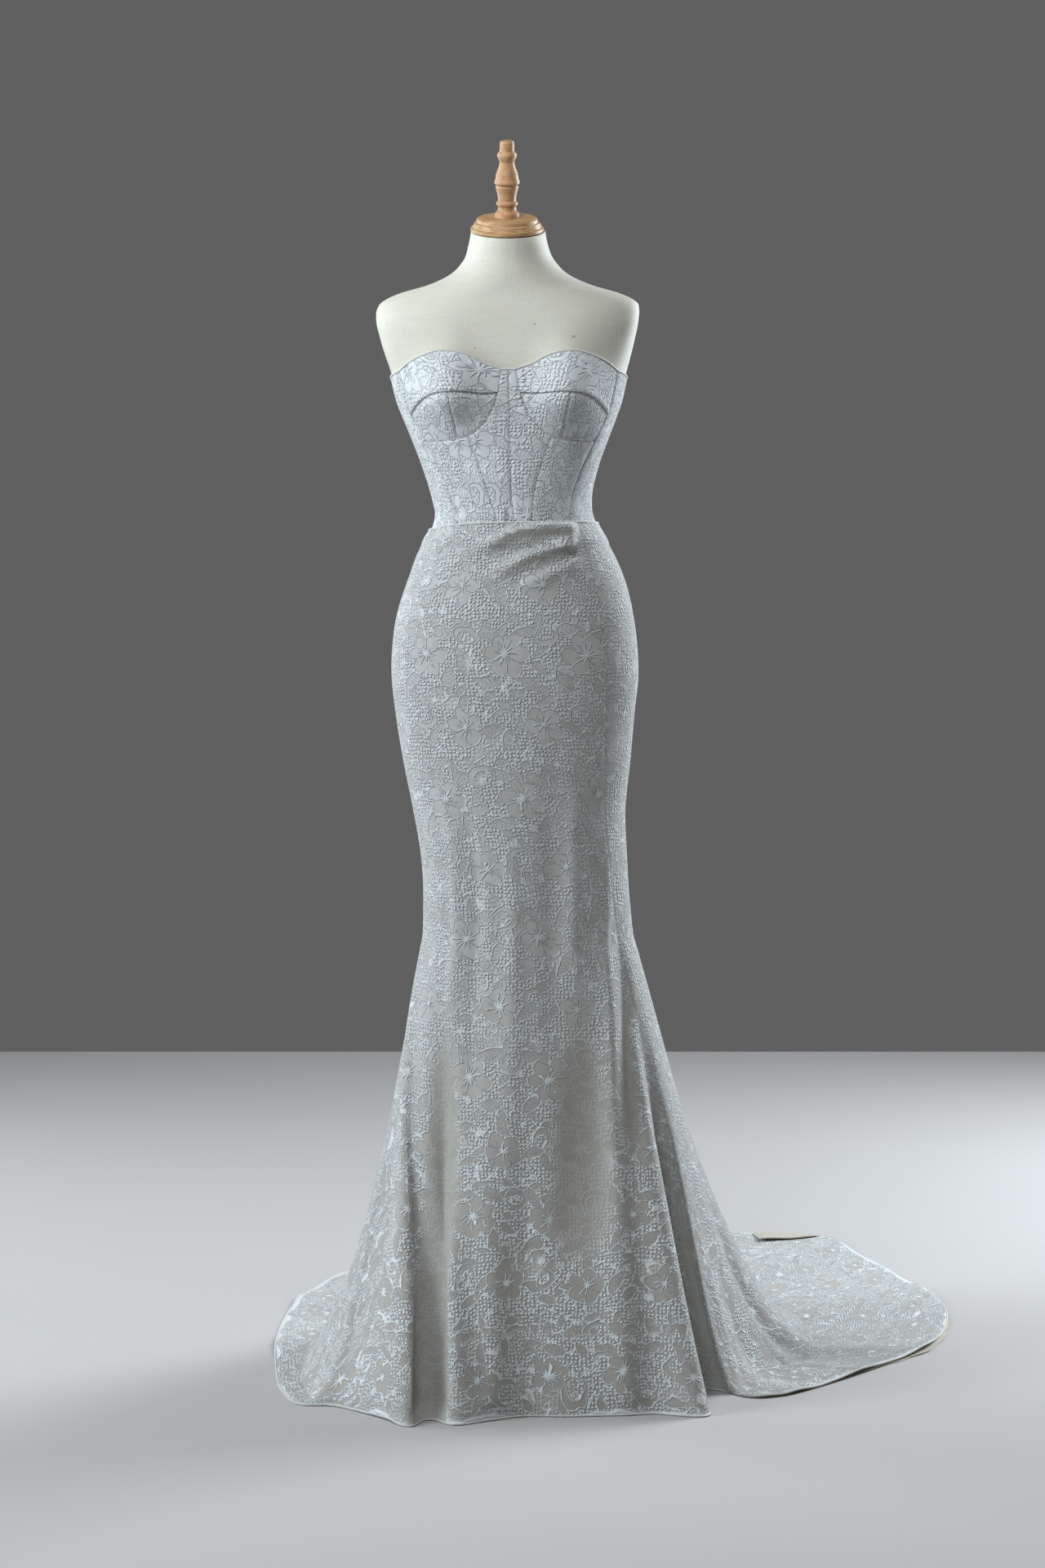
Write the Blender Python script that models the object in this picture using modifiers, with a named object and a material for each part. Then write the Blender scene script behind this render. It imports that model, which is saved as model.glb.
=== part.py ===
"""A strapless wedding dress on a limbless dress form, in metres, +Z up.

The origin is on the floor under the pole. +X is the wearer's left, seen on the right from the front,
and the front faces -Y. Every cloth piece is a wall worked out from two sheets of points: its inner side
and its outer side, CLOTH further out. Angles run round the body from the front, towards +X, in degrees.
"""

import math

import bmesh
import bpy
import numpy as np

# Cloth and the gaps that part the pieces
CLOTH = 0.002
HALF_SEAM = 0.00016
SEAM = 2 * HALF_SEAM
EASE = 0.0009
LAP_ROOM = 0.0008

# Heights of the garment
BODICE_END = 1.172
SKIRT_OVERLAP_END = 1.158
LAP_START = 0.002
KNEE = 0.60

# Bust, as two soft mounds on the front of the figure
BUST_APEX = (0.087, 1.372)
BUST_DEPTH = 0.036
FORM_BUST_DEPTH = 0.0325
BUST_SPREAD = 0.047
BUST_SPREAD_ABOVE = 0.062
BUST_SPREAD_BELOW = 0.043

# Dress form
TORSO_END = 0.850
TORSO_TAPER_START = 0.97
TORSO_TAPER = 0.90
HIP_ROOM = 0.014
HIP_ROOM_FULL = 1.120
NECK_LEAN = math.radians(14)
NECK_TOP = (-0.0064, -0.010, 1.5935)
POLE_RADIUS = 0.016
BASE_RADIUS = 0.150
BASE_RIM = 0.008
BASE_RISE = 0.016
TURNED_STEPS = 24
FINIAL_STEPS = 16

# The turned neck cap and the finial on it from their feet up, as height and radius
CAP = (
    (0.0000, 0.0475), (0.0020, 0.0503), (0.0060, 0.0505), (0.0072, 0.0480), (0.0110, 0.0462),
    (0.0130, 0.0455), (0.0138, 0.0428), (0.0180, 0.0420), (0.0200, 0.0395),
)
FINIAL = (
    (0.0000, 0.0171), (0.0060, 0.0168), (0.0100, 0.0128), (0.0150, 0.0126), (0.0180, 0.0150),
    (0.0210, 0.0148), (0.0230, 0.0122), (0.0320, 0.0134), (0.0420, 0.0160), (0.0440, 0.0148),
    (0.0470, 0.0176), (0.0500, 0.0174), (0.0530, 0.0160), (0.0600, 0.0150), (0.0680, 0.0118),
    (0.0760, 0.0100), (0.0810, 0.0122), (0.0850, 0.0138), (0.0890, 0.0124), (0.0910, 0.0100),
    (0.1030, 0.0099), (0.1050, 0.0088),
)

# The figure under the cloth, a row for each height. Depths are from the side plane to the front and back,
# and power is 2 for an ellipse and more for a squarer section.
FIGURE_COLUMNS = ("height", "centre", "half_width", "front", "back", "power")
FIGURE = (
    (0.550, 0.0268, 0.1720, 0.1130, 0.1400, 2.10),
    (0.600, 0.0241, 0.1480, 0.1010, 0.1200, 2.10),
    (0.655, 0.0213, 0.1424, 0.0965, 0.1110, 2.10),
    (0.7245, 0.0173, 0.1416, 0.0950, 0.1060, 2.10),
    (0.7935, 0.0104, 0.1460, 0.0960, 0.1060, 2.15),
    (0.862, 0.0070, 0.1562, 0.0970, 0.1100, 2.20),
    (0.931, 0.0045, 0.1646, 0.0990, 0.1160, 2.25),
    (0.977, 0.0045, 0.1694, 0.1000, 0.1190, 2.30),
    (1.0226, 0.0042, 0.1680, 0.1000, 0.1180, 2.30),
    (1.068, 0.0047, 0.1614, 0.0980, 0.1100, 2.30),
    (1.114, 0.0065, 0.1481, 0.0945, 0.0980, 2.25),
    (1.159, 0.0050, 0.1290, 0.0890, 0.0860, 2.20),
    (1.182, 0.0050, 0.1145, 0.0870, 0.0810, 2.20),
    (1.205, 0.0031, 0.1070, 0.0860, 0.0780, 2.20),
    (1.227, 0.0002, 0.1086, 0.0865, 0.0780, 2.20),
    (1.273, -0.0020, 0.1205, 0.0900, 0.0810, 2.25),
    (1.318, -0.0026, 0.1374, 0.0930, 0.0880, 2.35),
    (1.363, -0.0035, 0.1544, 0.0955, 0.0950, 2.50),
    (1.397, -0.0040, 0.1622, 0.0940, 0.0980, 2.75),
    (1.442, -0.0056, 0.1751, 0.0870, 0.0980, 3.10),
    (1.476, -0.0058, 0.1818, 0.0770, 0.0940, 3.30),
    (1.487, -0.0050, 0.1816, 0.0730, 0.0920, 3.10),
    (1.498, -0.0030, 0.1760, 0.0690, 0.0890, 2.70),
    (1.5095, -0.0025, 0.1530, 0.0660, 0.0860, 2.30),
    (1.521, -0.0025, 0.1140, 0.0645, 0.0820, 2.05),
    (1.532, -0.0030, 0.0885, 0.0635, 0.0760, 2.00),
    (1.554, -0.0037, 0.0639, 0.0615, 0.0640, 2.00),
    (1.577, -0.0048, 0.0548, 0.0625, 0.0480, 2.00),
    (1.596, -0.0048, 0.0505, 0.0625, 0.0390, 2.00),
)

# Seams of the front, as the distance from the centre-front seam and the height.
# Rows that two pieces share are used by both, so their edges match.
UNDERWIRE = (
    (0.0184, 1.3715), (0.0230, 1.3520), (0.0325, 1.3330), (0.0460, 1.3185), (0.0570, 1.3120),
    (0.0705, 1.3085), (0.0815, 1.3070), (0.0920, 1.3060), (0.1035, 1.3055), (0.1150, 1.3060),
)
CUP_BAND = (
    (0.0184, 1.3715), (0.0400, 1.3705), (0.0580, 1.3720), (0.0710, 1.3728), (0.0840, 1.3725),
    (0.1000, 1.3705), (0.1140, 1.3645), (0.1250, 1.3550), (0.1335, 1.3440),
)
NECKLINE = (
    (0.0150, 1.4015), (0.0330, 1.4085), (0.0500, 1.4180), (0.0660, 1.4235), (0.0820, 1.4262),
    (0.1000, 1.4252), (0.1180, 1.4195), (0.1340, 1.4120), (0.1480, 1.4010),
)
PRINCESS_AT_WAIST = 0.0215
SIDE_FRONT_AT_WAIST = 0.0790
UNDERWIRE_PRINCESS_ROW = 4
UNDERWIRE_CUP_ROW = 5
CUP_SEAM_ROW = 4
UNDERWIRE_COLUMNS_UNDER_CUP = 5

# Top edge of the side and the back, as angle and height
SIDE_SEAM = 90.0
BACK_SEAM = 138.0
SIDE_TOP = 1.3920
BACK_SEAM_TOP = 1.3720
BACK_TOP = 1.3550
EDGING_HEIGHT = 0.0030

# Skirt. Seams are angles round the knee, and the front's right seam wanders towards the centre above it.
LEFT_SEAM = -84.0
LEFT_BACK_SEAM = -128.0
RIGHT_BACK_SEAM = 95.0
FRONT_SEAM_COLUMNS = ("height", "angle")
FRONT_SEAM = ((0.600, 58.0), (0.724, 54.0), (0.900, 48.0), (1.125, 43.5), (1.200, 47.0))
SKIRT_TOP_COLUMNS = ("angle", "height")
SKIRT_TOP = (
    (-180.0, 1.184), (-84.0, 1.181), (-45.0, 1.190), (0.0, 1.1945), (48.0, 1.1935), (95.0, 1.190), (180.0, 1.184),
)
FRONT_HEIGHTS = (
    1.170, 1.158, 1.147, 1.137, 1.127, 1.117, 1.105, 1.088, 1.062, 1.030, 0.990, 0.945, 0.895,
    0.840, 0.780, 0.720, 0.660, 0.600,
)
PLAIN_HEIGHTS = (1.170, 1.158, 1.140, 1.115, 1.080, 1.035, 0.985, 0.925, 0.860, 0.790, 0.720, 0.660, 0.600)
FALL_ROWS = 13

# The hem on the floor, a row for each direction round the knee: where that line of cloth ends,
# the share of its way at which it reaches the floor, and how steeply it comes down (1 is straight down).
HEM_COLUMNS = ("angle", "x", "y", "touch", "steep")
HEM = (
    (-172.0, -0.080, 0.805, 0.50, 0.05),
    (-160.0, -0.215, 0.660, 0.52, 0.05),
    (-146.0, -0.303, 0.507, 0.56, 0.05),
    (-133.0, -0.333, 0.375, 0.60, 0.05),
    (-120.0, -0.344, 0.200, 0.74, 0.05),
    (-108.0, -0.337, 0.023, 0.82, 0.06),
    (-99.0, -0.317, -0.152, 0.86, 0.08),
    (-93.0, -0.288, -0.228, 0.90, 0.10),
    (-88.0, -0.240, -0.238, 0.94, 0.14),
    (-83.0, -0.185, -0.288, 0.98, 0.22),
    (-77.0, -0.142, -0.340, 1.00, 0.27),
    (-67.0, -0.112, -0.316, 1.00, 0.28),
    (-52.0, -0.077, -0.336, 1.00, 0.28),
    (-30.0, -0.029, -0.310, 1.00, 0.30),
    (-8.0, 0.020, -0.290, 1.00, 0.30),
    (14.0, 0.086, -0.291, 1.00, 0.30),
    (34.0, 0.185, -0.277, 1.00, 0.30),
    (50.0, 0.262, -0.260, 1.00, 0.30),
    (58.0, 0.200, -0.118, 1.00, 0.32),
    (66.0, 0.284, -0.150, 1.00, 0.22),
    (73.0, 0.328, -0.188, 0.88, 0.10),
    (80.0, 0.373, -0.179, 0.76, 0.06),
    (90.0, 0.447, -0.105, 0.70, 0.06),
    (100.0, 0.524, -0.010, 0.66, 0.06),
    (110.0, 0.607, 0.114, 0.62, 0.06),
    (119.0, 0.653, 0.310, 0.58, 0.05),
    (129.0, 0.626, 0.519, 0.54, 0.05),
    (139.0, 0.569, 0.726, 0.54, 0.05),
    (150.0, 0.502, 0.881, 0.53, 0.05),
    (160.0, 0.396, 0.915, 0.52, 0.05),
    (172.0, 0.230, 0.925, 0.50, 0.05),
)
KNEE_PULL = 0.50
FLOOR_APPROACH = 0.68
HEM_SETTLED = 0.6

# Soft ridges of the lower skirt and the train: direction, half width at the knee's angle, height,
# and the shares of the way down at which each starts and is highest
FOLDS = (
    (-50.0, 9.0, 0.010, 0.15, 0.85),
    (-22.0, 10.0, 0.004, 0.30, 0.90),
    (26.0, 9.0, 0.006, 0.35, 0.90),
    (84.0, 3.5, 0.012, 0.45, 0.80),
    (96.0, 3.5, 0.010, 0.50, 0.80),
    (108.0, 3.0, 0.012, 0.55, 0.80),
    (126.0, 3.5, 0.014, 0.50, 0.75),
    (146.0, 4.0, 0.016, 0.45, 0.75),
    (167.0, 4.5, 0.018, 0.40, 0.75),
    (-170.0, 5.0, 0.016, 0.40, 0.75),
    (-152.0, 4.0, 0.014, 0.45, 0.75),
    (-137.0, 3.5, 0.012, 0.45, 0.75),
    (-114.0, 3.5, 0.010, 0.35, 0.75),
)

# The draped tucks below the waist, each a ridge between two points of the front:
# x and height of its high end, x and height of its low end, sag, how far it stands out, and spread
TUCKS = (
    (0.080, 1.184, -0.085, 1.150, 0.004, 0.0045, 0.0090),
    (0.082, 1.160, -0.040, 1.119, 0.003, 0.0055, 0.0085),
    (0.086, 1.137, 0.000, 1.101, 0.002, 0.0040, 0.0080),
)

# Columns of points across each skirt panel, as angles at the knee
FRONT_ANGLES = (-84, -80, -77, -73, -67, -59, -51, -43, -34, -24, -14, -4, 6, 16, 26, 34, 41, 46, 50, 53, 55.5, 58)
SIDE_RIGHT_ANGLES = (58, 60.5, 63, 66, 69, 73, 78, 84, 90, 95)
BACK_RIGHT_ANGLES = (95, 100, 105, 110, 115, 121, 128, 135, 142, 149.5, 152, 154.5, 157, 159.5, 169, 180)
BACK_LEFT_ANGLES = (180, 190, 199, 208, 216, 224, 232)
SIDE_LEFT_ANGLES = (232, 240, 248, 256, 262, 267, 272, 276)

# The lining under the tip of the train, and the turned-over corner at the train's back edge
LINING_RANGE = (97.0, 126.0)
LINING_THICKNESS = 0.0012
LINING_UNDER = 0.020
LINING_PEEK = 0.009
LINING_ROOM = 0.0022
LINING_ROOM_LENGTH = 0.160
TURNBACK_ANGLES = (149.5, 152.0, 154.5, 157.0, 159.5)
TURNBACK_EDGE = 0.002
TURNBACK_WIDTH = 0.072
TURNBACK_LIFT = 0.011
TURNBACK_GAP = 0.0008

# Zip: a slider at the top of the centre back and a pull tab that swings on the slider's pin
ZIP_HEIGHT = 1.3440
SLIDER_SIZE = (0.0050, 0.0026, 0.0090)
LUG_SIZE = (0.0010, 0.0030, 0.0030)
LUG_SPREAD = 0.0021
LUG_TIP = 0.0004
PIN_RADIUS = 0.0006
PIN_OUT = 0.0050
EYE_HOLE = 0.0011
EYE_RADIUS = 0.0019
PULL_THICKNESS = 0.0012
PULL_WIDTH = 0.0022
PULL_END_WIDTH = 0.0054
PULL_LENGTH = 0.0230
PULL_CORNER = 0.0040

# The torso's rings of points
TORSO_ANGLES = (0, 3, 7, 12, 17.5, 24, 31, 39, 48, 58, 69, 80, 90, 101, 113, 125, 138, 152, 166)
TORSO_HEIGHTS = (
    1.5925, 1.577, 1.565, 1.554, 1.543, 1.532, 1.5265, 1.521, 1.515, 1.5095, 1.504, 1.498, 1.4925, 1.487,
    1.476, 1.458, 1.440, 1.422, 1.406, 1.390, 1.376, 1.362, 1.346, 1.330, 1.315, 1.300, 1.282, 1.262,
    1.240, 1.222, 1.205, 1.190, 1.175, 1.158, 1.138, 1.110, 1.070, 1.030, 0.980, 0.930, 0.890, TORSO_END,
)

# Collections for the finished pieces and for the shapes that are joined to or cut from them
PARTS = "wedding_dress_on_form"
CUTTERS = "cutters"

# Colours as linear red, green, blue
LACE_COLOUR = (0.60, 0.66, 0.68)
EDGE_COLOUR = (0.55, 0.58, 0.55)
LINING_COLOUR = (0.62, 0.58, 0.47)
FORM_COLOUR = (0.70, 0.68, 0.55)
CAP_COLOUR = (0.50, 0.28, 0.12)
FINIAL_COLOUR = (0.52, 0.27, 0.12)
STEEL_COLOUR = (0.45, 0.46, 0.47)
BASE_COLOUR = (0.10, 0.10, 0.11)


# Numbers and curves

def smooth(keys, values, at):
    """A curve through rows: cubics whose slope at a row is the mean of both sides, the nearer row weighing more."""
    keys = np.asarray(keys, float)
    values = np.asarray(values, float)
    at = np.clip(np.asarray(at, float), keys[0], keys[-1])
    gap = np.diff(keys)
    slope = np.diff(values) / gap
    inner = (gap[1:] * slope[:-1] + gap[:-1] * slope[1:]) / (gap[1:] + gap[:-1])
    tangent = np.concatenate([slope[:1], inner, slope[-1:]])
    i = np.clip(np.searchsorted(keys, at, side="right") - 1, 0, len(gap) - 1)
    t = (at - keys[i]) / gap[i]
    return (
        values[i] * (1 + 2 * t) * (1 - t) ** 2
        + values[i + 1] * t * t * (3 - 2 * t)
        + gap[i] * tangent[i] * t * (1 - t) ** 2
        - gap[i] * tangent[i + 1] * t * t * (1 - t)
    )


def columns(names, rows):
    """The table's columns by name."""
    return dict(zip(names, np.array(rows, float).T))


def ease_between(low, high, at):
    """0 up to low, 1 from high, and a soft step between."""
    t = np.clip((np.asarray(at, float) - low) / (high - low), 0.0, 1.0)
    return t * t * (3 - 2 * t)


def wrapped(angle):
    """The same direction between -180 and 180 degrees."""
    return (np.asarray(angle, float) + 180.0) % 360.0 - 180.0


def signed_power(value, exponent):
    return np.sign(value) * np.abs(value) ** exponent


FIGURE_TABLE = columns(FIGURE_COLUMNS, FIGURE)


def round_table(names, rows):
    """Columns of a table round the body, its rows repeated a turn before and after, sorted by angle."""
    once = np.array(rows, float)
    turns = []
    for turn in (-360.0, 0.0, 360.0):
        moved = once.copy()
        moved[:, 0] += turn
        turns.append(moved)
    return columns(names, np.concatenate(turns))


HEM_TABLE = round_table(HEM_COLUMNS, HEM)


# Surfaces

def figure(angle, height, bust=BUST_DEPTH):
    """A point of the figure: a superellipse for its height, its front pushed out by the two bust mounds."""
    turn = np.radians(angle)
    row = {name: smooth(FIGURE_TABLE["height"], FIGURE_TABLE[name], height) for name in FIGURE_COLUMNS[1:]}
    exponent = 2.0 / row["power"]
    across = row["half_width"] * signed_power(np.sin(turn), exponent)
    facing = np.cos(turn)
    depth = np.where(facing > 0, -row["front"], row["back"]) * np.abs(facing) ** exponent
    lift = np.where(height > BUST_APEX[1], BUST_SPREAD_ABOVE, BUST_SPREAD_BELOW)
    away = ((np.abs(across) - BUST_APEX[0]) / BUST_SPREAD) ** 2 + ((height - BUST_APEX[1]) / lift) ** 2
    depth = depth - bust * np.exp(-away) * ease_between(0.0, 0.5, facing)
    x, y, z = np.broadcast_arrays(row["centre"] + across, depth, height)
    return np.stack([x, y, z], axis=-1)


def skirt_above_knee(angle, height):
    """The skirt's inner side down to the knee: the figure, eased out, and further out where it laps the bodice."""
    lap = ease_between(SKIRT_OVERLAP_END, BODICE_END - LAP_START, height)
    out = EASE + (CLOTH + SEAM + LAP_ROOM) * lap
    return figure(angle, height) + out[..., None] * facing_out(figure, angle, height)


def folds_at(angle, way):
    """Height of the lower skirt's ridges at a direction and a share of the way down."""
    height = np.zeros(np.broadcast(angle, way).shape)
    for centre, spread, rise, start, full in FOLDS:
        across = wrapped(angle - centre) / spread
        height = height + rise * np.exp(-(across**2)) * ease_between(start, full, way)
    return height


def skirt_below_knee(angle, way):
    """The skirt's inner side below the knee. Each line of cloth leaves the knee along the figure, comes down
    in one cubic Bezier curve to where it meets the floor, and then lies straight out to the hem."""
    angle, way = np.broadcast_arrays(np.asarray(angle, float), np.asarray(way, float))
    hem = {name: smooth(HEM_TABLE["angle"], HEM_TABLE[name], wrapped(angle)) for name in HEM_COLUMNS[1:]}
    touch = np.clip(hem["touch"], 0.0, 1.0)
    knee = skirt_above_knee(angle, np.full(angle.shape, KNEE))
    above = skirt_above_knee(angle, np.full(angle.shape, KNEE + 0.01))
    leave = (knee - above) / 0.01
    end = np.stack([hem["x"], hem["y"], np.zeros(angle.shape)], axis=-1)
    run = end - knee
    run[..., 2] = 0.0
    landing = knee + run * touch[..., None]
    landing[..., 2] = 0.0
    approach = knee + run * (touch * FLOOR_APPROACH)[..., None]
    approach[..., 2] = KNEE * hem["steep"]
    pull = knee + leave * (KNEE * KNEE_PULL)
    distance = np.linalg.norm(run, axis=-1)
    falling = np.hypot(distance * touch, KNEE) * 1.04
    lying = distance * (1 - touch)
    share = falling / (falling + lying)
    t = np.clip(way / share, 0.0, 1.0)[..., None]
    flat = np.clip((way - share) / np.maximum(1 - share, 1e-9), 0.0, 1.0)[..., None]
    point = (
        knee * (1 - t) ** 3 + 3 * pull * t * (1 - t) ** 2 + 3 * approach * t * t * (1 - t) + landing * t**3
    ) + (end - landing) * flat
    lift = folds_at(angle, way)
    sideways = run / np.maximum(distance, 1e-9)[..., None]
    standing = ease_between(0.0, 0.12, point[..., 2])
    settled = 1 - HEM_SETTLED * ease_between(0.7, 1.0, way)
    point = point + sideways * (lift * standing * 0.8)[..., None]
    point[..., 2] += lift * (1 - standing) * settled * ease_between(0.0, 0.06, lying)
    near_end = ease_between(1.0, 0.0, (1 - way) * (falling + lying) / LINING_ROOM_LENGTH)
    over_lining = ease_between(LINING_RANGE[0] - 12, LINING_RANGE[0] - 4, angle) * ease_between(
        LINING_RANGE[1] + 12, LINING_RANGE[1] + 4, angle
    )
    point[..., 2] += LINING_ROOM * over_lining * near_end
    return point


def skirt(angle, row):
    """The skirt's inner side: row 0 to 1 is the way from the top edge to the knee, 1 to 2 from there to the hem."""
    angle, row = np.broadcast_arrays(np.asarray(angle, float), np.asarray(row, float))
    top = skirt_top(angle)
    height = top + (KNEE - top) * np.clip(row, 0.0, 1.0)
    upper = skirt_above_knee(angle, height)
    lower = skirt_below_knee(angle, np.clip(row - 1.0, 0.0, 1.0))
    return np.where((row <= 1.0)[..., None], upper, lower)


def skirt_top(angle):
    table = columns(SKIRT_TOP_COLUMNS, SKIRT_TOP)
    return smooth(table["angle"], table["height"], wrapped(angle))


def facing_out(surface, angle, down):
    """The surface's unit normal, away from the body, from steps along its two directions."""
    angle = np.asarray(angle, float)
    down = np.asarray(down, float)
    turn_step = 0.4
    down_step = 0.004
    if surface is figure:
        round_way = figure(angle + turn_step, down) - figure(angle - turn_step, down)
        up_way = figure(angle, down + down_step) - figure(angle, down - down_step)
    else:
        before = np.maximum(down - down_step, 0.0)
        after = np.minimum(down + down_step, 2.0)
        round_way = surface(angle + turn_step, down) - surface(angle - turn_step, down)
        up_way = surface(angle, before) - surface(angle, after)
    normal = np.cross(round_way, up_way)
    return normal / np.linalg.norm(normal, axis=-1, keepdims=True)


def tucks_at(points):
    """How far the draped tucks stand out: a soft ridge along each one's line, fading at both ends."""
    x, height = points[..., 0], points[..., 2]
    rise = np.zeros(x.shape)
    front = points[..., 1] < 0
    for x_high, high, x_low, low, sag, tall, spread in TUCKS:
        along = (x_high - x) / (x_high - x_low)
        inside = np.clip(along, 0.0, 1.0)
        line = high + (low - high) * inside - sag * 4 * inside * (1 - inside)
        fade = ease_between(-0.02, 0.05, along) * ease_between(1.10, 0.55, along)
        rise = rise + tall * np.exp(-(((height - line) / spread) ** 2)) * fade * front
    return rise


# Meshes

def material(name, colour, roughness, metallic=0.0):
    made = bpy.data.materials.get(name) or bpy.data.materials.new(name)
    made.use_nodes = True
    shader = made.node_tree.nodes["Principled BSDF"]
    shader.inputs["Base Color"].default_value = (*colour, 1.0)
    shader.inputs["Roughness"].default_value = roughness
    shader.inputs["Metallic"].default_value = metallic
    made.diffuse_color = (*colour, 1.0)
    return made


def collection(name):
    found = bpy.data.collections.get(name)
    if found is None:
        found = bpy.data.collections.new(name)
        bpy.context.scene.collection.children.link(found)
    return found


def add_object(name, mesh, finish, group=PARTS):
    made = bpy.data.objects.new(name, mesh)
    mesh.materials.append(finish)
    collection(group).objects.link(made)
    return made


def shade(mesh):
    mesh.shade_smooth()
    mesh.set_sharp_from_angle(angle=math.radians(40))


def wall(name, inner, outer, finish):
    """A closed wall between two grids of points, inner and outer, joined by four edge strips.
    Rows run down, and columns run anticlockwise seen from above."""
    rows, across = inner.shape[:2]
    count = rows * across
    vertices = np.concatenate([outer.reshape(-1, 3), inner.reshape(-1, 3)])

    def at(i, j, side):
        return side * count + i * across + j

    faces = []
    for i in range(rows - 1):
        for j in range(across - 1):
            faces.append((at(i, j, 0), at(i + 1, j, 0), at(i + 1, j + 1, 0), at(i, j + 1, 0)))
            faces.append((at(i, j, 1), at(i, j + 1, 1), at(i + 1, j + 1, 1), at(i + 1, j, 1)))
    last = rows - 1
    for j in range(across - 1):
        faces.append((at(0, j, 0), at(0, j + 1, 0), at(0, j + 1, 1), at(0, j, 1)))
        faces.append((at(last, j, 0), at(last, j, 1), at(last, j + 1, 1), at(last, j + 1, 0)))
    end = across - 1
    for i in range(rows - 1):
        faces.append((at(i, 0, 0), at(i, 0, 1), at(i + 1, 0, 1), at(i + 1, 0, 0)))
        faces.append((at(i, end, 0), at(i + 1, end, 0), at(i + 1, end, 1), at(i, end, 1)))
    mesh = bpy.data.meshes.new(name)
    mesh.from_pydata(vertices.tolist(), [], faces)
    mesh.update()
    shade(mesh)
    return add_object(name, mesh, finish)


def inset(grid):
    """The grid with each edge drawn in by half a seam's gap, towards the next row or column."""
    moved = grid.copy()
    for edge, neighbour in ((0, 1), (-1, -2)):
        step = grid[neighbour] - grid[edge]
        moved[edge] += step / np.linalg.norm(step, axis=-1, keepdims=True) * HALF_SEAM
    for edge, neighbour in ((0, 1), (-1, -2)):
        step = moved[:, neighbour] - moved[:, edge]
        moved[:, edge] += step / np.linalg.norm(step, axis=-1, keepdims=True) * HALF_SEAM
    return moved


def body_of_rings(name, rings, finish):
    """A closed body through rings of points, top ring first, with a fan of faces at each end."""
    turns = rings.shape[1]
    vertices = rings.reshape(-1, 3).tolist()
    faces = []
    for i in range(len(rings) - 1):
        for j in range(turns):
            k = (j + 1) % turns
            faces.append((i * turns + j, (i + 1) * turns + j, (i + 1) * turns + k, i * turns + k))
    for ring, flip in ((0, False), (len(rings) - 1, True)):
        centre = len(vertices)
        vertices.append(rings[ring].mean(axis=0).tolist())
        for j in range(turns):
            k = (j + 1) % turns
            a, b = ring * turns + j, ring * turns + k
            faces.append((b, a, centre) if flip else (a, b, centre))
    mesh = bpy.data.meshes.new(name)
    mesh.from_pydata(vertices, [], faces)
    mesh.update()
    shade(mesh)
    return add_object(name, mesh, finish)


def turned(name, profile, finish, place=(0.0, 0.0, 0.0), lean=0.0, steps=TURNED_STEPS):
    """A turned piece: a closed profile of (radius, height), top to bottom on its outer side, spun about Z."""
    mesh = bpy.data.meshes.new(name)
    points = [(radius, 0.0, height) for radius, height in profile]
    edges = [(i, i + 1) for i in range(len(points) - 1)]
    mesh.from_pydata(points, edges, [])
    made = add_object(name, mesh, finish)
    screw = made.modifiers.new("turn", "SCREW")
    screw.steps = steps
    screw.render_steps = steps
    screw.use_merge_vertices = True
    screw.merge_threshold = 0.0001
    made.location = place
    made.rotation_euler = (lean, 0.0, 0.0)
    return made


# Bodice

def centre_front(height):
    return smooth(FIGURE_TABLE["height"], FIGURE_TABLE["centre"], height)


def seam_point(across, height, side):
    """Angle and height of a point of the front, given its distance from the centre-front seam."""
    half = smooth(FIGURE_TABLE["height"], FIGURE_TABLE["half_width"], height)
    power = smooth(FIGURE_TABLE["height"], FIGURE_TABLE["power"], height)
    sine = (np.clip(across / half, 0.0, 1.0)) ** (power / 2.0)
    return (side * math.degrees(math.asin(float(sine))), float(height))


def front_line(rows, side):
    return np.array([seam_point(across, height, side) for across, height in rows])


def subdivided(line, counts):
    """The line with each stretch cut into the given number of equal steps."""
    points = [line[0]]
    for start, end, count in zip(line[:-1], line[1:], counts):
        for step in range(1, count + 1):
            points.append(start + (end - start) * step / count)
    return np.array(points)


def between(first, second, steps):
    """Rows of angle and height from the first line to the second."""
    share = np.linspace(0.0, 1.0, steps + 1)[:, None, None]
    return first[None] * (1 - share) + second[None] * share


def bodice_piece(name, grid, finish, side):
    """A cloth wall over the figure from rows of angle and height, top row first."""
    if side < 0:
        grid = grid[:, ::-1]
    angle, height = grid[..., 0], grid[..., 1]
    skin = figure(angle, height)
    out = facing_out(figure, angle, height)
    return wall(name, inset(skin + EASE * out), inset(skin + (EASE + CLOTH) * out), finish)


def waist_line(start, end, steps, side):
    """Points along the bodice's lower edge between two distances from the centre-front seam."""
    return front_line([(start + (end - start) * i / steps, BODICE_END) for i in range(steps + 1)], side)


def across_grid(near_centre, far, steps):
    """A grid from the line nearer the centre to the far one, turned so that rows run down."""
    return between(near_centre, far, steps).transpose(1, 0, 2)


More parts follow.
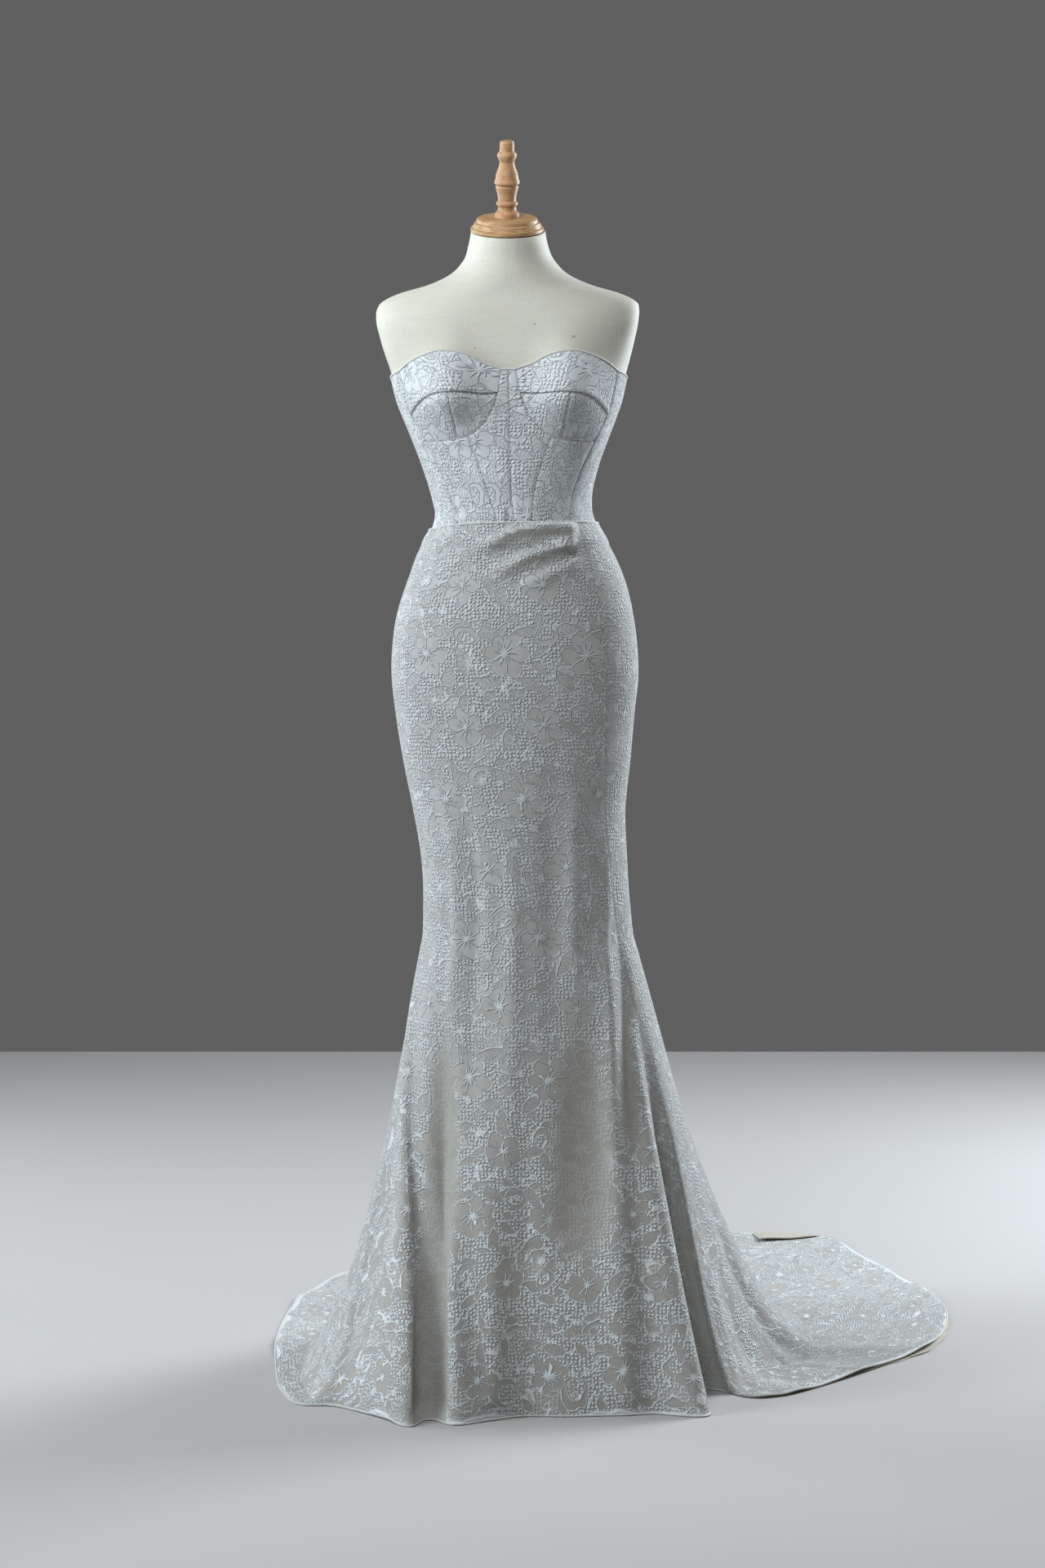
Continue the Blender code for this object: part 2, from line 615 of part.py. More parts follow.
def make_bodice(lace, edge):
    for side, word in ((1, "right"), (-1, "left")):
        underwire = front_line(UNDERWIRE, side)
        band = front_line(CUP_BAND, side)
        neck = front_line(NECKLINE, side)
        princess_foot = np.array(seam_point(PRINCESS_AT_WAIST, BODICE_END, side))
        side_front_foot = np.array(seam_point(SIDE_FRONT_AT_WAIST, BODICE_END, side))

        bodice_piece("cup_upper_" + word, between(neck, band, 4), lace, side)
        cup_end = UNDERWIRE_CUP_ROW + UNDERWIRE_COLUMNS_UNDER_CUP
        bodice_piece(
            "cup_inner_" + word,
            between(band[: CUP_SEAM_ROW + 1], underwire[1 : UNDERWIRE_CUP_ROW + 1], 6),
            lace,
            side,
        )
        bodice_piece(
            "cup_outer_" + word,
            between(band[CUP_SEAM_ROW:], underwire[UNDERWIRE_CUP_ROW:cup_end], 6),
            lace,
            side,
        )
        under_cup = underwire[UNDERWIRE_PRINCESS_ROW:]
        foot = waist_line(PRINCESS_AT_WAIST, SIDE_FRONT_AT_WAIST, len(under_cup) - 1, side)
        bodice_piece("bodice_front_side_" + word, between(under_cup, foot, 9), lace, side)

        edge_line = np.concatenate([neck[:1], underwire[: UNDERWIRE_PRINCESS_ROW + 1], princess_foot[None]])
        edge_line = subdivided(edge_line, (2, 2, 1, 1, 1, 9))
        centre_line = np.stack([np.zeros(len(edge_line)), edge_line[:, 1]], axis=-1)
        bodice_piece("bodice_front_centre_" + word, across_grid(centre_line, edge_line, 3), lace, side)

        side_front = subdivided(
            np.stack([neck[-1], band[-1], underwire[-1], side_front_foot]), (3, 2, 6)
        )
        drop = np.linspace(0.0, 1.0, len(side_front))
        side_line = np.stack(
            [np.full(len(drop), side * SIDE_SEAM), SIDE_TOP + (BODICE_END - SIDE_TOP) * drop], axis=-1
        )
        bodice_piece("bodice_side_" + word, across_grid(side_front, side_line, 6), lace, side)

        back_line = np.stack(
            [np.full(len(drop), side * BACK_SEAM), BACK_SEAM_TOP + (BODICE_END - BACK_SEAM_TOP) * drop], axis=-1
        )
        bodice_piece("bodice_back_side_" + word, across_grid(side_line, back_line, 8), lace, side)
        zip_line = np.stack(
            [np.full(len(drop), side * 180.0), BACK_TOP + (BODICE_END - BACK_TOP) * drop], axis=-1
        )
        bodice_piece("bodice_back_centre_" + word, across_grid(back_line, zip_line, 4), lace, side)
    make_edging(edge)


def make_edging(edge):
    """The narrow edging along the whole neckline, from one side of the zip round to the other."""
    right = front_line(NECKLINE, 1)
    right = np.concatenate(
        [
            [[0.0, NECKLINE[0][1]]],
            right,
            between(right[-1][None], np.array([[SIDE_SEAM, SIDE_TOP]]), 5)[1:, 0],
            between(np.array([[SIDE_SEAM, SIDE_TOP]]), np.array([[BACK_SEAM, BACK_SEAM_TOP]]), 5)[1:, 0],
            between(np.array([[BACK_SEAM, BACK_SEAM_TOP]]), np.array([[180.0, BACK_TOP]]), 4)[1:, 0],
        ]
    )
    left = right[:0:-1] * np.array([-1.0, 1.0])
    line = np.concatenate([left, right])
    low = line + np.array([0.0, HALF_SEAM])
    high = line + np.array([0.0, EDGING_HEIGHT])
    grid = np.stack([high, low])
    skin = figure(grid[..., 0], grid[..., 1])
    out = facing_out(figure, grid[..., 0], grid[..., 1])
    wall("neckline_edging", inset(skin + EASE * out), inset(skin + (EASE + CLOTH) * out), edge)


# Skirt

def skirt_panel(name, angles, heights, finish):
    """One skirt panel from the top edge to the hem. Its columns follow the front seam's wander above the knee."""
    knee_angles = np.array(angles, float)
    seam = columns(FRONT_SEAM_COLUMNS, FRONT_SEAM)
    rows = len(heights) + 1
    inner, outer = [], []
    for i in range(rows + FALL_ROWS):
        if i < rows:
            level = heights[i - 1] if i else SKIRT_TOP[3][1]
            shift = smooth(seam["height"], seam["angle"], level) - seam["angle"][0]
            near = ease_between(LEFT_SEAM, seam["angle"][0], wrapped(knee_angles))
            beyond = ease_between(RIGHT_BACK_SEAM, seam["angle"][0], wrapped(knee_angles))
            angle = knee_angles + shift * np.where(wrapped(knee_angles) <= seam["angle"][0], near, beyond)
            top = skirt_top(angle)
            height = top if i == 0 else np.full(len(angle), level)
            row = (top - height) / (top - KNEE)
        else:
            angle = knee_angles
            row = np.full(len(angle), 1.0 + (i - rows + 1) / FALL_ROWS)
        point = skirt(angle, row)
        out = facing_out(skirt, angle, row)
        if i < rows:
            point = point + tucks_at(point)[..., None] * out
        skin = point + CLOTH * out
        skin[..., 2] = np.maximum(skin[..., 2], 0.0004)
        inner.append(point)
        outer.append(skin)
    inner, outer = inset(np.array(inner)), inset(np.array(outer))
    return wall(name, inner, outer, finish)


def make_skirt(lace):
    skirt_panel("skirt_front", FRONT_ANGLES, FRONT_HEIGHTS, lace)
    skirt_panel("skirt_side_right", SIDE_RIGHT_ANGLES, FRONT_HEIGHTS, lace)
    skirt_panel("skirt_back_right", BACK_RIGHT_ANGLES, PLAIN_HEIGHTS, lace)
    skirt_panel("skirt_back_left", BACK_LEFT_ANGLES, PLAIN_HEIGHTS, lace)
    skirt_panel("skirt_side_left", SIDE_LEFT_ANGLES, PLAIN_HEIGHTS, lace)


def hem_line(angle):
    """Hem points, and the level direction in which the cloth lies out to them."""
    end = skirt(angle, 2.0)
    before = skirt(angle, 1.97)
    way = end - before
    way[..., 2] = 0.0
    return end, way / np.linalg.norm(way, axis=-1, keepdims=True)


def make_lining(lining):
    """A flat strip under the tip of the train, which reaches a little past the lace in its middle."""
    angle = np.linspace(*LINING_RANGE, 16)
    end, way = hem_line(angle)
    middle = np.sin(np.linspace(0.0, math.pi, len(angle)))
    past = -0.004 + (LINING_PEEK + 0.004) * middle
    rows = []
    for share in np.linspace(0.0, 1.0, 4):
        reach = -LINING_UNDER + (past + LINING_UNDER) * share
        point = end + way * reach[..., None]
        point[..., 2] = 0.0
        rows.append(point)
    under = np.array(rows)
    top = under + np.array([0.0, 0.0, LINING_THICKNESS])
    wall("train_lining", under, top, lining)


def make_turnback(lining):
    """The corner of the train's back edge turned over onto the train, its free edge standing a little up.
    Its columns are the panel's own, so it lies on the panel's faces."""
    angle = np.array(TURNBACK_ANGLES)
    hem = skirt(angle, 2.0)
    inside = skirt(angle, 2.0 - 1.0 / FALL_ROWS)
    length = np.linalg.norm(inside - hem, axis=-1)
    middle = np.sin(np.linspace(0.0, math.pi, len(angle))) ** 0.6
    rows = []
    for share in np.linspace(1.0, 0.0, 6):
        reach = TURNBACK_EDGE + TURNBACK_WIDTH * share * (0.25 + 0.75 * middle)
        point = hem + (inside - hem) * (reach / length)[..., None]
        point[..., 2] += CLOTH + TURNBACK_GAP + TURNBACK_LIFT * share**2 * middle
        rows.append(point)
    under = np.array(rows)
    top = under + np.array([0.0, 0.0, CLOTH])
    wall("train_turnback", under, top, lining)


# Zip

def box_mesh(name, size, centre, finish, holder, group=CUTTERS):
    mesh = bpy.data.meshes.new(name)
    shape = bmesh.new()
    bmesh.ops.create_cube(shape, size=1.0)
    bmesh.ops.scale(shape, vec=size, verts=shape.verts)
    bmesh.ops.translate(shape, vec=centre, verts=shape.verts)
    shape.to_mesh(mesh)
    shape.free()
    made = add_object(name, mesh, finish, group)
    made.parent = holder
    return made


def rod_mesh(name, radius, length, segments, finish, holder, group=CUTTERS):
    """A cylinder along X."""
    mesh = bpy.data.meshes.new(name)
    shape = bmesh.new()
    bmesh.ops.create_cone(
        shape, cap_ends=True, segments=segments, radius1=radius, radius2=radius, depth=length
    )
    for vertex in shape.verts:
        x, y, z = vertex.co
        vertex.co = (z, y, -x)
    shape.to_mesh(mesh)
    shape.free()
    made = add_object(name, mesh, finish, group)
    made.parent = holder
    return made


def tab_mesh(name, finish, holder):
    """The flat tab of the zip's pull: an outline that widens towards its foot, with a thickness."""
    mesh = bpy.data.meshes.new(name)
    half, wide = PULL_WIDTH / 2, PULL_END_WIDTH / 2
    right = (
        (wide * 0.55, -PULL_LENGTH), (wide, -PULL_LENGTH + PULL_CORNER),
        (wide * 0.8, -PULL_LENGTH * 0.5), (half, -EYE_HOLE),
    )
    left = [(-x, z) for x, z in right[::-1]]
    shape = bmesh.new()
    near = [shape.verts.new((x, -PULL_THICKNESS / 2, z)) for x, z in (*left, *right)]
    moved = bmesh.ops.extrude_face_region(shape, geom=[shape.faces.new(near)])
    far = [item for item in moved["geom"] if isinstance(item, bmesh.types.BMVert)]
    bmesh.ops.translate(shape, vec=(0.0, PULL_THICKNESS, 0.0), verts=far)
    bmesh.ops.recalc_face_normals(shape, faces=shape.faces)
    shape.to_mesh(mesh)
    shape.free()
    made = add_object(name, mesh, finish, CUTTERS)
    made.parent = holder
    return made


def combine(target, other, operation):
    other.hide_render = True
    other.display_type = "WIRE"
    step = target.modifiers.new(operation.lower() + "_" + other.name, "BOOLEAN")
    step.operation = operation
    step.object = other
    step.solver = "EXACT"


def zip_place():
    """Where the slider's pin is, and the slope of the back there."""
    back, above = figure(180.0, np.array([ZIP_HEIGHT, ZIP_HEIGHT + SLIDER_SIZE[2]]))
    slope = (above - back)[1] / SLIDER_SIZE[2]
    pin_up = (SLIDER_SIZE[2] - LUG_SIZE[2]) / 2
    depth = back[1] + EASE + CLOTH + SEAM + PIN_OUT + slope * pin_up
    return (back[0], depth, ZIP_HEIGHT + pin_up), slope


def place_holder(name, place, tilt):
    holder = bpy.data.objects.new(name, None)
    holder.location = place
    holder.rotation_euler = (tilt, 0.0, 0.0)
    collection(PARTS).objects.link(holder)
    return holder


def make_zip(steel):
    place, slope = zip_place()
    slider_holder = place_holder("zip_slider_place", place, -math.atan(slope))
    pull_holder = place_holder("zip_pull_place", place, 0.0)

    below_pin = -(SLIDER_SIZE[2] - LUG_SIZE[2]) / 2
    front_face = SLIDER_SIZE[1] / 2 - PIN_OUT
    slider = box_mesh("zip_slider", SLIDER_SIZE, (0.0, front_face, below_pin), steel, slider_holder, PARTS)
    lug_reach = PIN_OUT + PIN_RADIUS - SLIDER_SIZE[1] / 2
    for side in (-1, 1):
        lug = box_mesh(
            "zip_lug_%d" % side,
            (LUG_SIZE[0], lug_reach, LUG_SIZE[2]),
            (side * LUG_SPREAD, PIN_RADIUS + LUG_TIP - lug_reach / 2, 0.0),
            steel,
            slider_holder,
        )
        combine(slider, lug, "UNION")
    pin = rod_mesh("zip_pin_rod", PIN_RADIUS, 2 * LUG_SPREAD, 8, steel, slider_holder)
    combine(slider, pin, "UNION")

    eye = rod_mesh("zip_pull", EYE_RADIUS, PULL_THICKNESS * 2, 16, steel, pull_holder, PARTS)
    combine(eye, tab_mesh("zip_tab", steel, pull_holder), "UNION")
    hole = rod_mesh("zip_eye_hole", EYE_HOLE, PULL_THICKNESS * 4, 16, steel, pull_holder)
    combine(eye, hole, "DIFFERENCE")


# Dress form

def make_torso(cover):
    """The torso: the figure from under the neck cap down, drawn in below the hips."""
    half = np.array(TORSO_ANGLES)
    turn = np.concatenate([half, [180.0], 360.0 - half[:0:-1]])
    rings = []
    for height in TORSO_HEIGHTS:
        ring = figure(turn, np.full(len(turn), height), FORM_BUST_DEPTH)
        taper = 1.0 - HIP_ROOM * ease_between(BODICE_END, HIP_ROOM_FULL, height)
        taper -= (1.0 - TORSO_TAPER) * ease_between(TORSO_TAPER_START, TORSO_END, height)
        centre = ring.mean(axis=0)
        rings.append(centre + (ring - centre) * np.array([taper, taper, 1.0]))
    rings = np.array(rings)
    lean = np.tan(NECK_LEAN)
    rings[0, :, 2] = NECK_TOP[2] + (rings[0, :, 1] - NECK_TOP[1]) * lean
    return body_of_rings("form_torso", rings, cover)


def neck_point(up):
    """A point on the leaning axis of the neck, that far above the neck's top."""
    return (NECK_TOP[0], NECK_TOP[1] - math.sin(NECK_LEAN) * up, NECK_TOP[2] + math.cos(NECK_LEAN) * up)


def turned_on_neck(name, rows, wood, up, steps):
    """A turned piece of rows of height and radius, on the neck's leaning axis."""
    outline = [(radius, height) for height, radius in rows[::-1]]
    turned(name, [(0.0, rows[-1][0]), *outline, (0.0, 0.0)], wood, neck_point(up), NECK_LEAN, steps)


def make_stand(steel, paint):
    """A round base with a raised middle, and the pole that stands on it and carries the torso."""
    base = [(0.0, BASE_RISE), (0.030, BASE_RISE), (0.045, BASE_RIM + 0.002), (BASE_RADIUS - 0.006, BASE_RIM)]
    base += [(BASE_RADIUS, BASE_RIM - 0.004), (BASE_RADIUS, 0.0), (0.0, 0.0)]
    turned("form_base", base, paint)
    low, high = BASE_RISE + SEAM, TORSO_END - SEAM
    turned("form_pole", [(0.0, high), (POLE_RADIUS, high), (POLE_RADIUS, low), (0.0, low)], steel)


def main():
    for old in list(bpy.data.objects):
        bpy.data.objects.remove(old)
    lace = material("corded_lace", LACE_COLOUR, 0.75)
    edge = material("edging", EDGE_COLOUR, 0.7)
    lining = material("lining", LINING_COLOUR, 0.6)
    cover = material("form_cover", FORM_COLOUR, 0.8)
    cap_wood = material("cap_oak", CAP_COLOUR, 0.45)
    finial_wood = material("finial_beech", FINIAL_COLOUR, 0.45)
    steel = material("steel", STEEL_COLOUR, 0.3, 1.0)
    paint = material("base_paint", BASE_COLOUR, 0.5)
    make_torso(cover)
    turned_on_neck("form_neck_cap", CAP, cap_wood, SEAM, TURNED_STEPS)
    turned_on_neck("form_finial", FINIAL, finial_wood, CAP[-1][0] + 2 * SEAM, FINIAL_STEPS)
    make_stand(steel, paint)
    make_bodice(lace, edge)
    make_skirt(lace)
    make_lining(lining)
    make_turnback(lining)
    make_zip(steel)


main()
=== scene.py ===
"""The look of a strapless lace wedding dress on its dress form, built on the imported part.

Lengths are in metres and colours are linear. Angles are in degrees and run round the body from the front,
towards +X. A place on the skirt is an angle and a row: row 0 to 1 is the way from its top edge to the knee,
and 1 to 2 the way from there to the hem. The surfaces are worked out with the same formulas as the solids,
but finer.
"""

import math

import bpy
import mathutils
import numpy as np
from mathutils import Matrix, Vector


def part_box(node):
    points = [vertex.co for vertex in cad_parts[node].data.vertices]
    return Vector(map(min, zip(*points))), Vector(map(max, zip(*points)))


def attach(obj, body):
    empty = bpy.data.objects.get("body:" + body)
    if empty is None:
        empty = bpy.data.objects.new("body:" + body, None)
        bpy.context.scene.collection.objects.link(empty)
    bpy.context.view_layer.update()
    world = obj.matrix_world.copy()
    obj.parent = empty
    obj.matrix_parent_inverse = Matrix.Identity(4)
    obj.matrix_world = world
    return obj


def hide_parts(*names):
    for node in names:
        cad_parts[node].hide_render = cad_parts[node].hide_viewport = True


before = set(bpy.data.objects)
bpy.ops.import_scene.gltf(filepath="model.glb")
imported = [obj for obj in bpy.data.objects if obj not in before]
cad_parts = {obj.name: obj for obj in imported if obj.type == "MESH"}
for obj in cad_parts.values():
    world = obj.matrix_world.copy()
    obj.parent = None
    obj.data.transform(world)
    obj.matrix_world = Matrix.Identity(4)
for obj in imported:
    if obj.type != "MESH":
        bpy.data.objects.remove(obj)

bl_info = {
    "name": "Wedding dress on dress form",
    "version": (1, 0, 0),
    "blender": (4, 5, 0),
    "location": "View3D > Sidebar > Dress",
    "description": "Builds a lace wedding dress on its dress form",
    "category": "Object",
}

ROOT = "gown_and_form"
MATERIALS = {}

# Faces that meet at more than this angle keep a hard edge
SHARP = math.radians(50)

# Seams: depth and reach of the groove, its share on the skirt, and reach of the dark line
SEAM_DEPTH = 0.0011
SEAM_SOFT = 0.0018
SKIRT_SEAM = 0.3
SEAM_DARK = 0.0013

# Walls: gap of the inner side from the solid's, least thickness, and least heights over the floor
INNER_GAP = 0.0002
LEAST_WALL = 0.0005
OUTER_OVER_FLOOR = 0.0016
INNER_OVER_FLOOR = 0.0003

# Folds: height of the tallest draped one, least depth at which a trough is painted in full with the darker
# plain colour as painted shade, and the share of the solid's tucks that the scene's skirt keeps beside its
# own
TALLEST_TUCK = 0.010
TROUGH_DEPTH = 0.0095
TUCK_SHARE = 0.4

# Hem length past which a skirt panel's points lie further apart
WIDE_HEM = 1.17

# Bodice: points across a piece, metres of lace for each degree, reach of a lift, and how far the ground is
# mixed towards the colour of the lace, which leaves it whiter than the skirt's
BODICE_COLUMNS = 50
BODICE_ARC = 0.0026
LIFT_SOFT = 0.007
BODICE_WHITER = 0.4

# Cords: spacing of the rings, radius, and pitch of the swellings, of the hem's cord and the neckline's
HEM_STEP = 0.0016
HEM_LEAST_STEP = 0.0008
HEM_OVER_FLOOR = 0.0002
PICOT_PITCH = 0.0048
NECKLINE_STEP = 0.0010
NECKLINE_CORD = 0.0016
NECKLINE_PITCH = 0.0032
NECKLINE_OUT = 0.0011
NECKLINE_UP = 0.0008
WAIST_CORD = 0.0011
WAIST_CORD_SUNK = 0.0004

# Dress form: points of the turned pieces and of the cover, and the heights between which the neck leans
TURNED_ROWS = 160
TURNED_COLUMNS = 72
COVER_COLUMNS = 145
COVER_ROWS_SEEN = 150
COVER_ROWS_HIDDEN = 40
COVER_SEEN_FROM = 1.14
TORSO_RIM = 1.5925
TORSO_NECK_START = 1.577

# Zip teeth: lowest place, pitch, half size, and how far each stands to its side
ZIP_BOTTOM = 1.00
ZIP_PITCH = 0.0014
TOOTH_HALF = (0.0011, 0.0006, 0.00045)
TOOTH_ASIDE = 0.0006

# Stage: half width of the floor, where it ends behind the dress, the soft light all round, and the camera
FLOOR_HALF = 9.0
STAGE_BACK = 2.9
WORLD_LIGHT = 0.16
WORLD_COLOUR = (0.74, 0.72, 0.73, 1.0)
CAMERA_PLACE = (0.015, -5.17, 1.25)
CAMERA_DOWN = 4.67
CAMERA_LENS = 85
CAMERA_SENSOR = 36

# How far each bodice piece's lace is shifted across, because each is cut from its own place
BODICE_SHIFT = {"cup_upper": 0.043, "cup_inner": 0.017, "cup_outer": 0.071, "bodice_front_side": 0.029}

# How far a bodice piece stands out along its top and its foot
BODICE_LIFT = {"cup_upper": (0.0, 0.0016), "cup_inner": (-0.0012, -0.0008), "cup_outer": (-0.0012, -0.0008)}

# Puckers of the bodice: x, height, half width, half height, and how far each stands out
PUCKERS = ((-0.0035, 1.200, 0.0035, 0.016, -0.0016), (-0.012, 1.196, 0.004, 0.018, 0.0010))

# Skirt panels: name, angles at the knee of both edges, and the angle of the lace's straight grain
PANELS = (
    ("skirt_front", -84.0, 58.0, 0.0),
    ("skirt_side_right", 58.0, 95.0, 76.0),
    ("skirt_back_right", 95.0, 180.0, 137.0),
    ("skirt_back_left", 180.0, 232.0, 206.0),
    ("skirt_side_left", 232.0, 276.0, 254.0),
)

# Creases of the lower skirt and the train: a path of row and angle, half width in degrees, and height
CREASES = (
    (
        (
            (0.80, -88.0), (1.12, -80.0), (1.35, -74.0), (1.50, -75.0), (1.65, -80.5), (1.87, -80.5),
            (2.0, -78.5),
        ),
        5.0, 0.009,
    ),
    (
        ((0.98, -44.0), (1.18, -44.5), (1.43, -48.5), (1.72, -61.0), (1.92, -66.0), (2.0, -66.5)),
        8.5, -0.023,
    ),
    (((1.10, -19.0), (1.34, -20.0), (1.53, -22.0), (1.80, -26.0), (2.0, -30.0)), 9.0, 0.007),
    (((0.92, 24.0), (1.18, 21.0), (1.45, 17.5), (1.75, 14.0)), 13.0, -0.0115),
    (
        ((0.65, 56.0), (0.78, 53.5), (0.92, 48.5), (1.02, 42.5), (1.20, 34.0), (1.50, 30.0), (2.0, 28.0)),
        4.5, 0.008,
    ),
    (((0.90, 62.0), (1.045, 54.5), (1.155, 46.0), (1.30, 41.0), (1.45, 40.0)), 5.0, -0.010),
    (((1.20, 57.0), (1.57, 56.0), (2.0, 53.0)), 3.5, 0.008),
    (((1.25, 63.0), (1.44, 64.5), (1.68, 66.0), (2.0, 66.5)), 2.8, -0.0095),
    (((1.35, 80.0), (1.60, 79.0), (2.0, 77.0)), 3.0, 0.008),
    (((1.30, 97.0), (1.47, 99.5), (1.62, 101.0), (1.90, 104.0)), 2.6, -0.009),
    (((1.45, 88.0), (1.70, 87.0), (2.0, 86.0)), 2.6, -0.006),
    (((1.50, 113.0), (1.75, 114.5), (2.0, 115.0)), 3.0, -0.007),
    (((1.50, 134.0), (1.80, 133.0), (2.0, 131.0)), 3.0, -0.008),
    (((1.30, 155.0), (1.60, 156.5), (1.95, 158.0)), 4.0, -0.009),
    (((1.20, -178.0), (1.55, -179.0), (2.0, -179.0)), 4.0, -0.009),
    (((1.25, -161.0), (1.60, -160.0), (2.0, -161.0)), 3.5, -0.008),
    (((1.30, -144.0), (1.60, -143.0), (2.0, -142.0)), 3.0, -0.008),
    (((1.25, -124.0), (1.60, -123.0), (2.0, -124.0)), 3.5, -0.008),
    (((1.10, -98.0), (1.50, -97.0), (2.0, -96.0)), 4.0, -0.008),
    (((0.45, 18.0), (0.78, 14.5), (1.05, 10.5), (1.30, 6.0)), 7.0, -0.0050),
    (((0.45, -28.0), (0.78, -27.5), (1.04, -28.5), (1.26, -28.5), (1.45, -29.0)), 4.5, -0.0045),
    (((0.55, -6.0), (0.78, -6.5), (1.26, -10.5), (1.55, -11.5)), 5.0, 0.0045),
    (((0.55, -41.0), (0.78, -41.5), (1.05, -41.5), (1.25, -40.0)), 4.5, 0.0040),
    (((1.30, -6.0), (1.52, -5.0), (1.75, -4.0)), 4.0, -0.0035),
    (((0.55, 30.0), (0.80, 27.0), (1.10, 22.0)), 4.0, 0.0030),
)

# Folds draped under the waist: path of x and height of the crest, spread above and below it, and height
TUCK_LINES = (
    (
        ((-0.078, 1.148), (-0.050, 1.160), (-0.023, 1.172), (0.002, 1.183), (0.028, 1.188), (0.082, 1.188)),
        0.004, 0.0125, 0.0100,
    ),
    (
        ((-0.040, 1.118), (-0.012, 1.131), (0.019, 1.1466), (0.059, 1.1606), (0.082, 1.169)),
        0.0080, 0.0105, 0.0100,
    ),
    (((0.010, 1.107), (0.050, 1.124), (0.090, 1.138)), 0.0080, 0.0120, 0.0045),
)

# Small dark marks on the cover: x, height, size and strength
COVER_MARKS = ((0.032, 1.4640, 0.0030, 0.8), (0.085, 1.4470, 0.0045, 0.8), (-0.050, 1.4310, 0.0026, 0.7))

# Lights: name, place, aim, size, power and colour
LIGHTS = (
    ("left_window", (-2.85, -0.8, 1.9), (0.0, 0.0, 0.85), (1.2, 2.2), 83.0, (0.85, 0.935, 1.0)),
    ("right_window", (2.1, 1.6, 1.8), (0.0, 0.0, 0.9), (1.0, 2.2), 125.0, (0.87, 0.94, 1.0)),
    ("left_rim", (-2.2, 1.5, 1.6), (0.0, 0.0, 0.9), (0.9, 2.2), 40.0, (0.88, 0.94, 1.0)),
    ("front_fill", (0.6, -4.6, 2.4), (0.0, 0.0, 0.9), (2.2, 1.4), 3.0, (1.0, 0.90, 0.78)),
    ("top_soft", (-0.5, -1.3, 2.7), (0.0, 0.0, 1.35), (0.6, 0.5), 25.0, (0.92, 0.96, 1.0)),
)

# Cloth and the gaps that part the pieces
CLOTH = 0.002
HALF_SEAM = 0.00016
SEAM = 2 * HALF_SEAM
EASE = 0.0009
LAP_ROOM = 0.0008

# Heights of the garment
BODICE_END = 1.172
SKIRT_OVERLAP_END = 1.158
LAP_START = 0.002
KNEE = 0.60

# Bust, as two soft mounds on the front of the figure
BUST_APEX = (0.087, 1.372)
BUST_DEPTH = 0.036
FORM_BUST_DEPTH = 0.0325
BUST_SPREAD = 0.047
BUST_SPREAD_ABOVE = 0.062
BUST_SPREAD_BELOW = 0.043

# Dress form
TORSO_END = 0.850
TORSO_TAPER_START = 0.97
TORSO_TAPER = 0.90
HIP_ROOM = 0.014
HIP_ROOM_FULL = 1.120
NECK_LEAN = math.radians(14)
NECK_TOP = (-0.0064, -0.010, 1.5935)

# The turned neck cap and the finial on it from their feet up, as height and radius
CAP = (
    (0.0000, 0.0475), (0.0020, 0.0503), (0.0060, 0.0505), (0.0072, 0.0480), (0.0110, 0.0462),
    (0.0130, 0.0455), (0.0138, 0.0428), (0.0180, 0.0420), (0.0200, 0.0395),
)
FINIAL = (
    (0.0000, 0.0171), (0.0060, 0.0168), (0.0100, 0.0128), (0.0150, 0.0126), (0.0180, 0.0150),
    (0.0210, 0.0148), (0.0230, 0.0122), (0.0320, 0.0134), (0.0420, 0.0160), (0.0440, 0.0148),
    (0.0470, 0.0176), (0.0500, 0.0174), (0.0530, 0.0160), (0.0600, 0.0150), (0.0680, 0.0118),
    (0.0760, 0.0100), (0.0810, 0.0122), (0.0850, 0.0138), (0.0890, 0.0124), (0.0910, 0.0100),
    (0.1030, 0.0099), (0.1050, 0.0088),
)

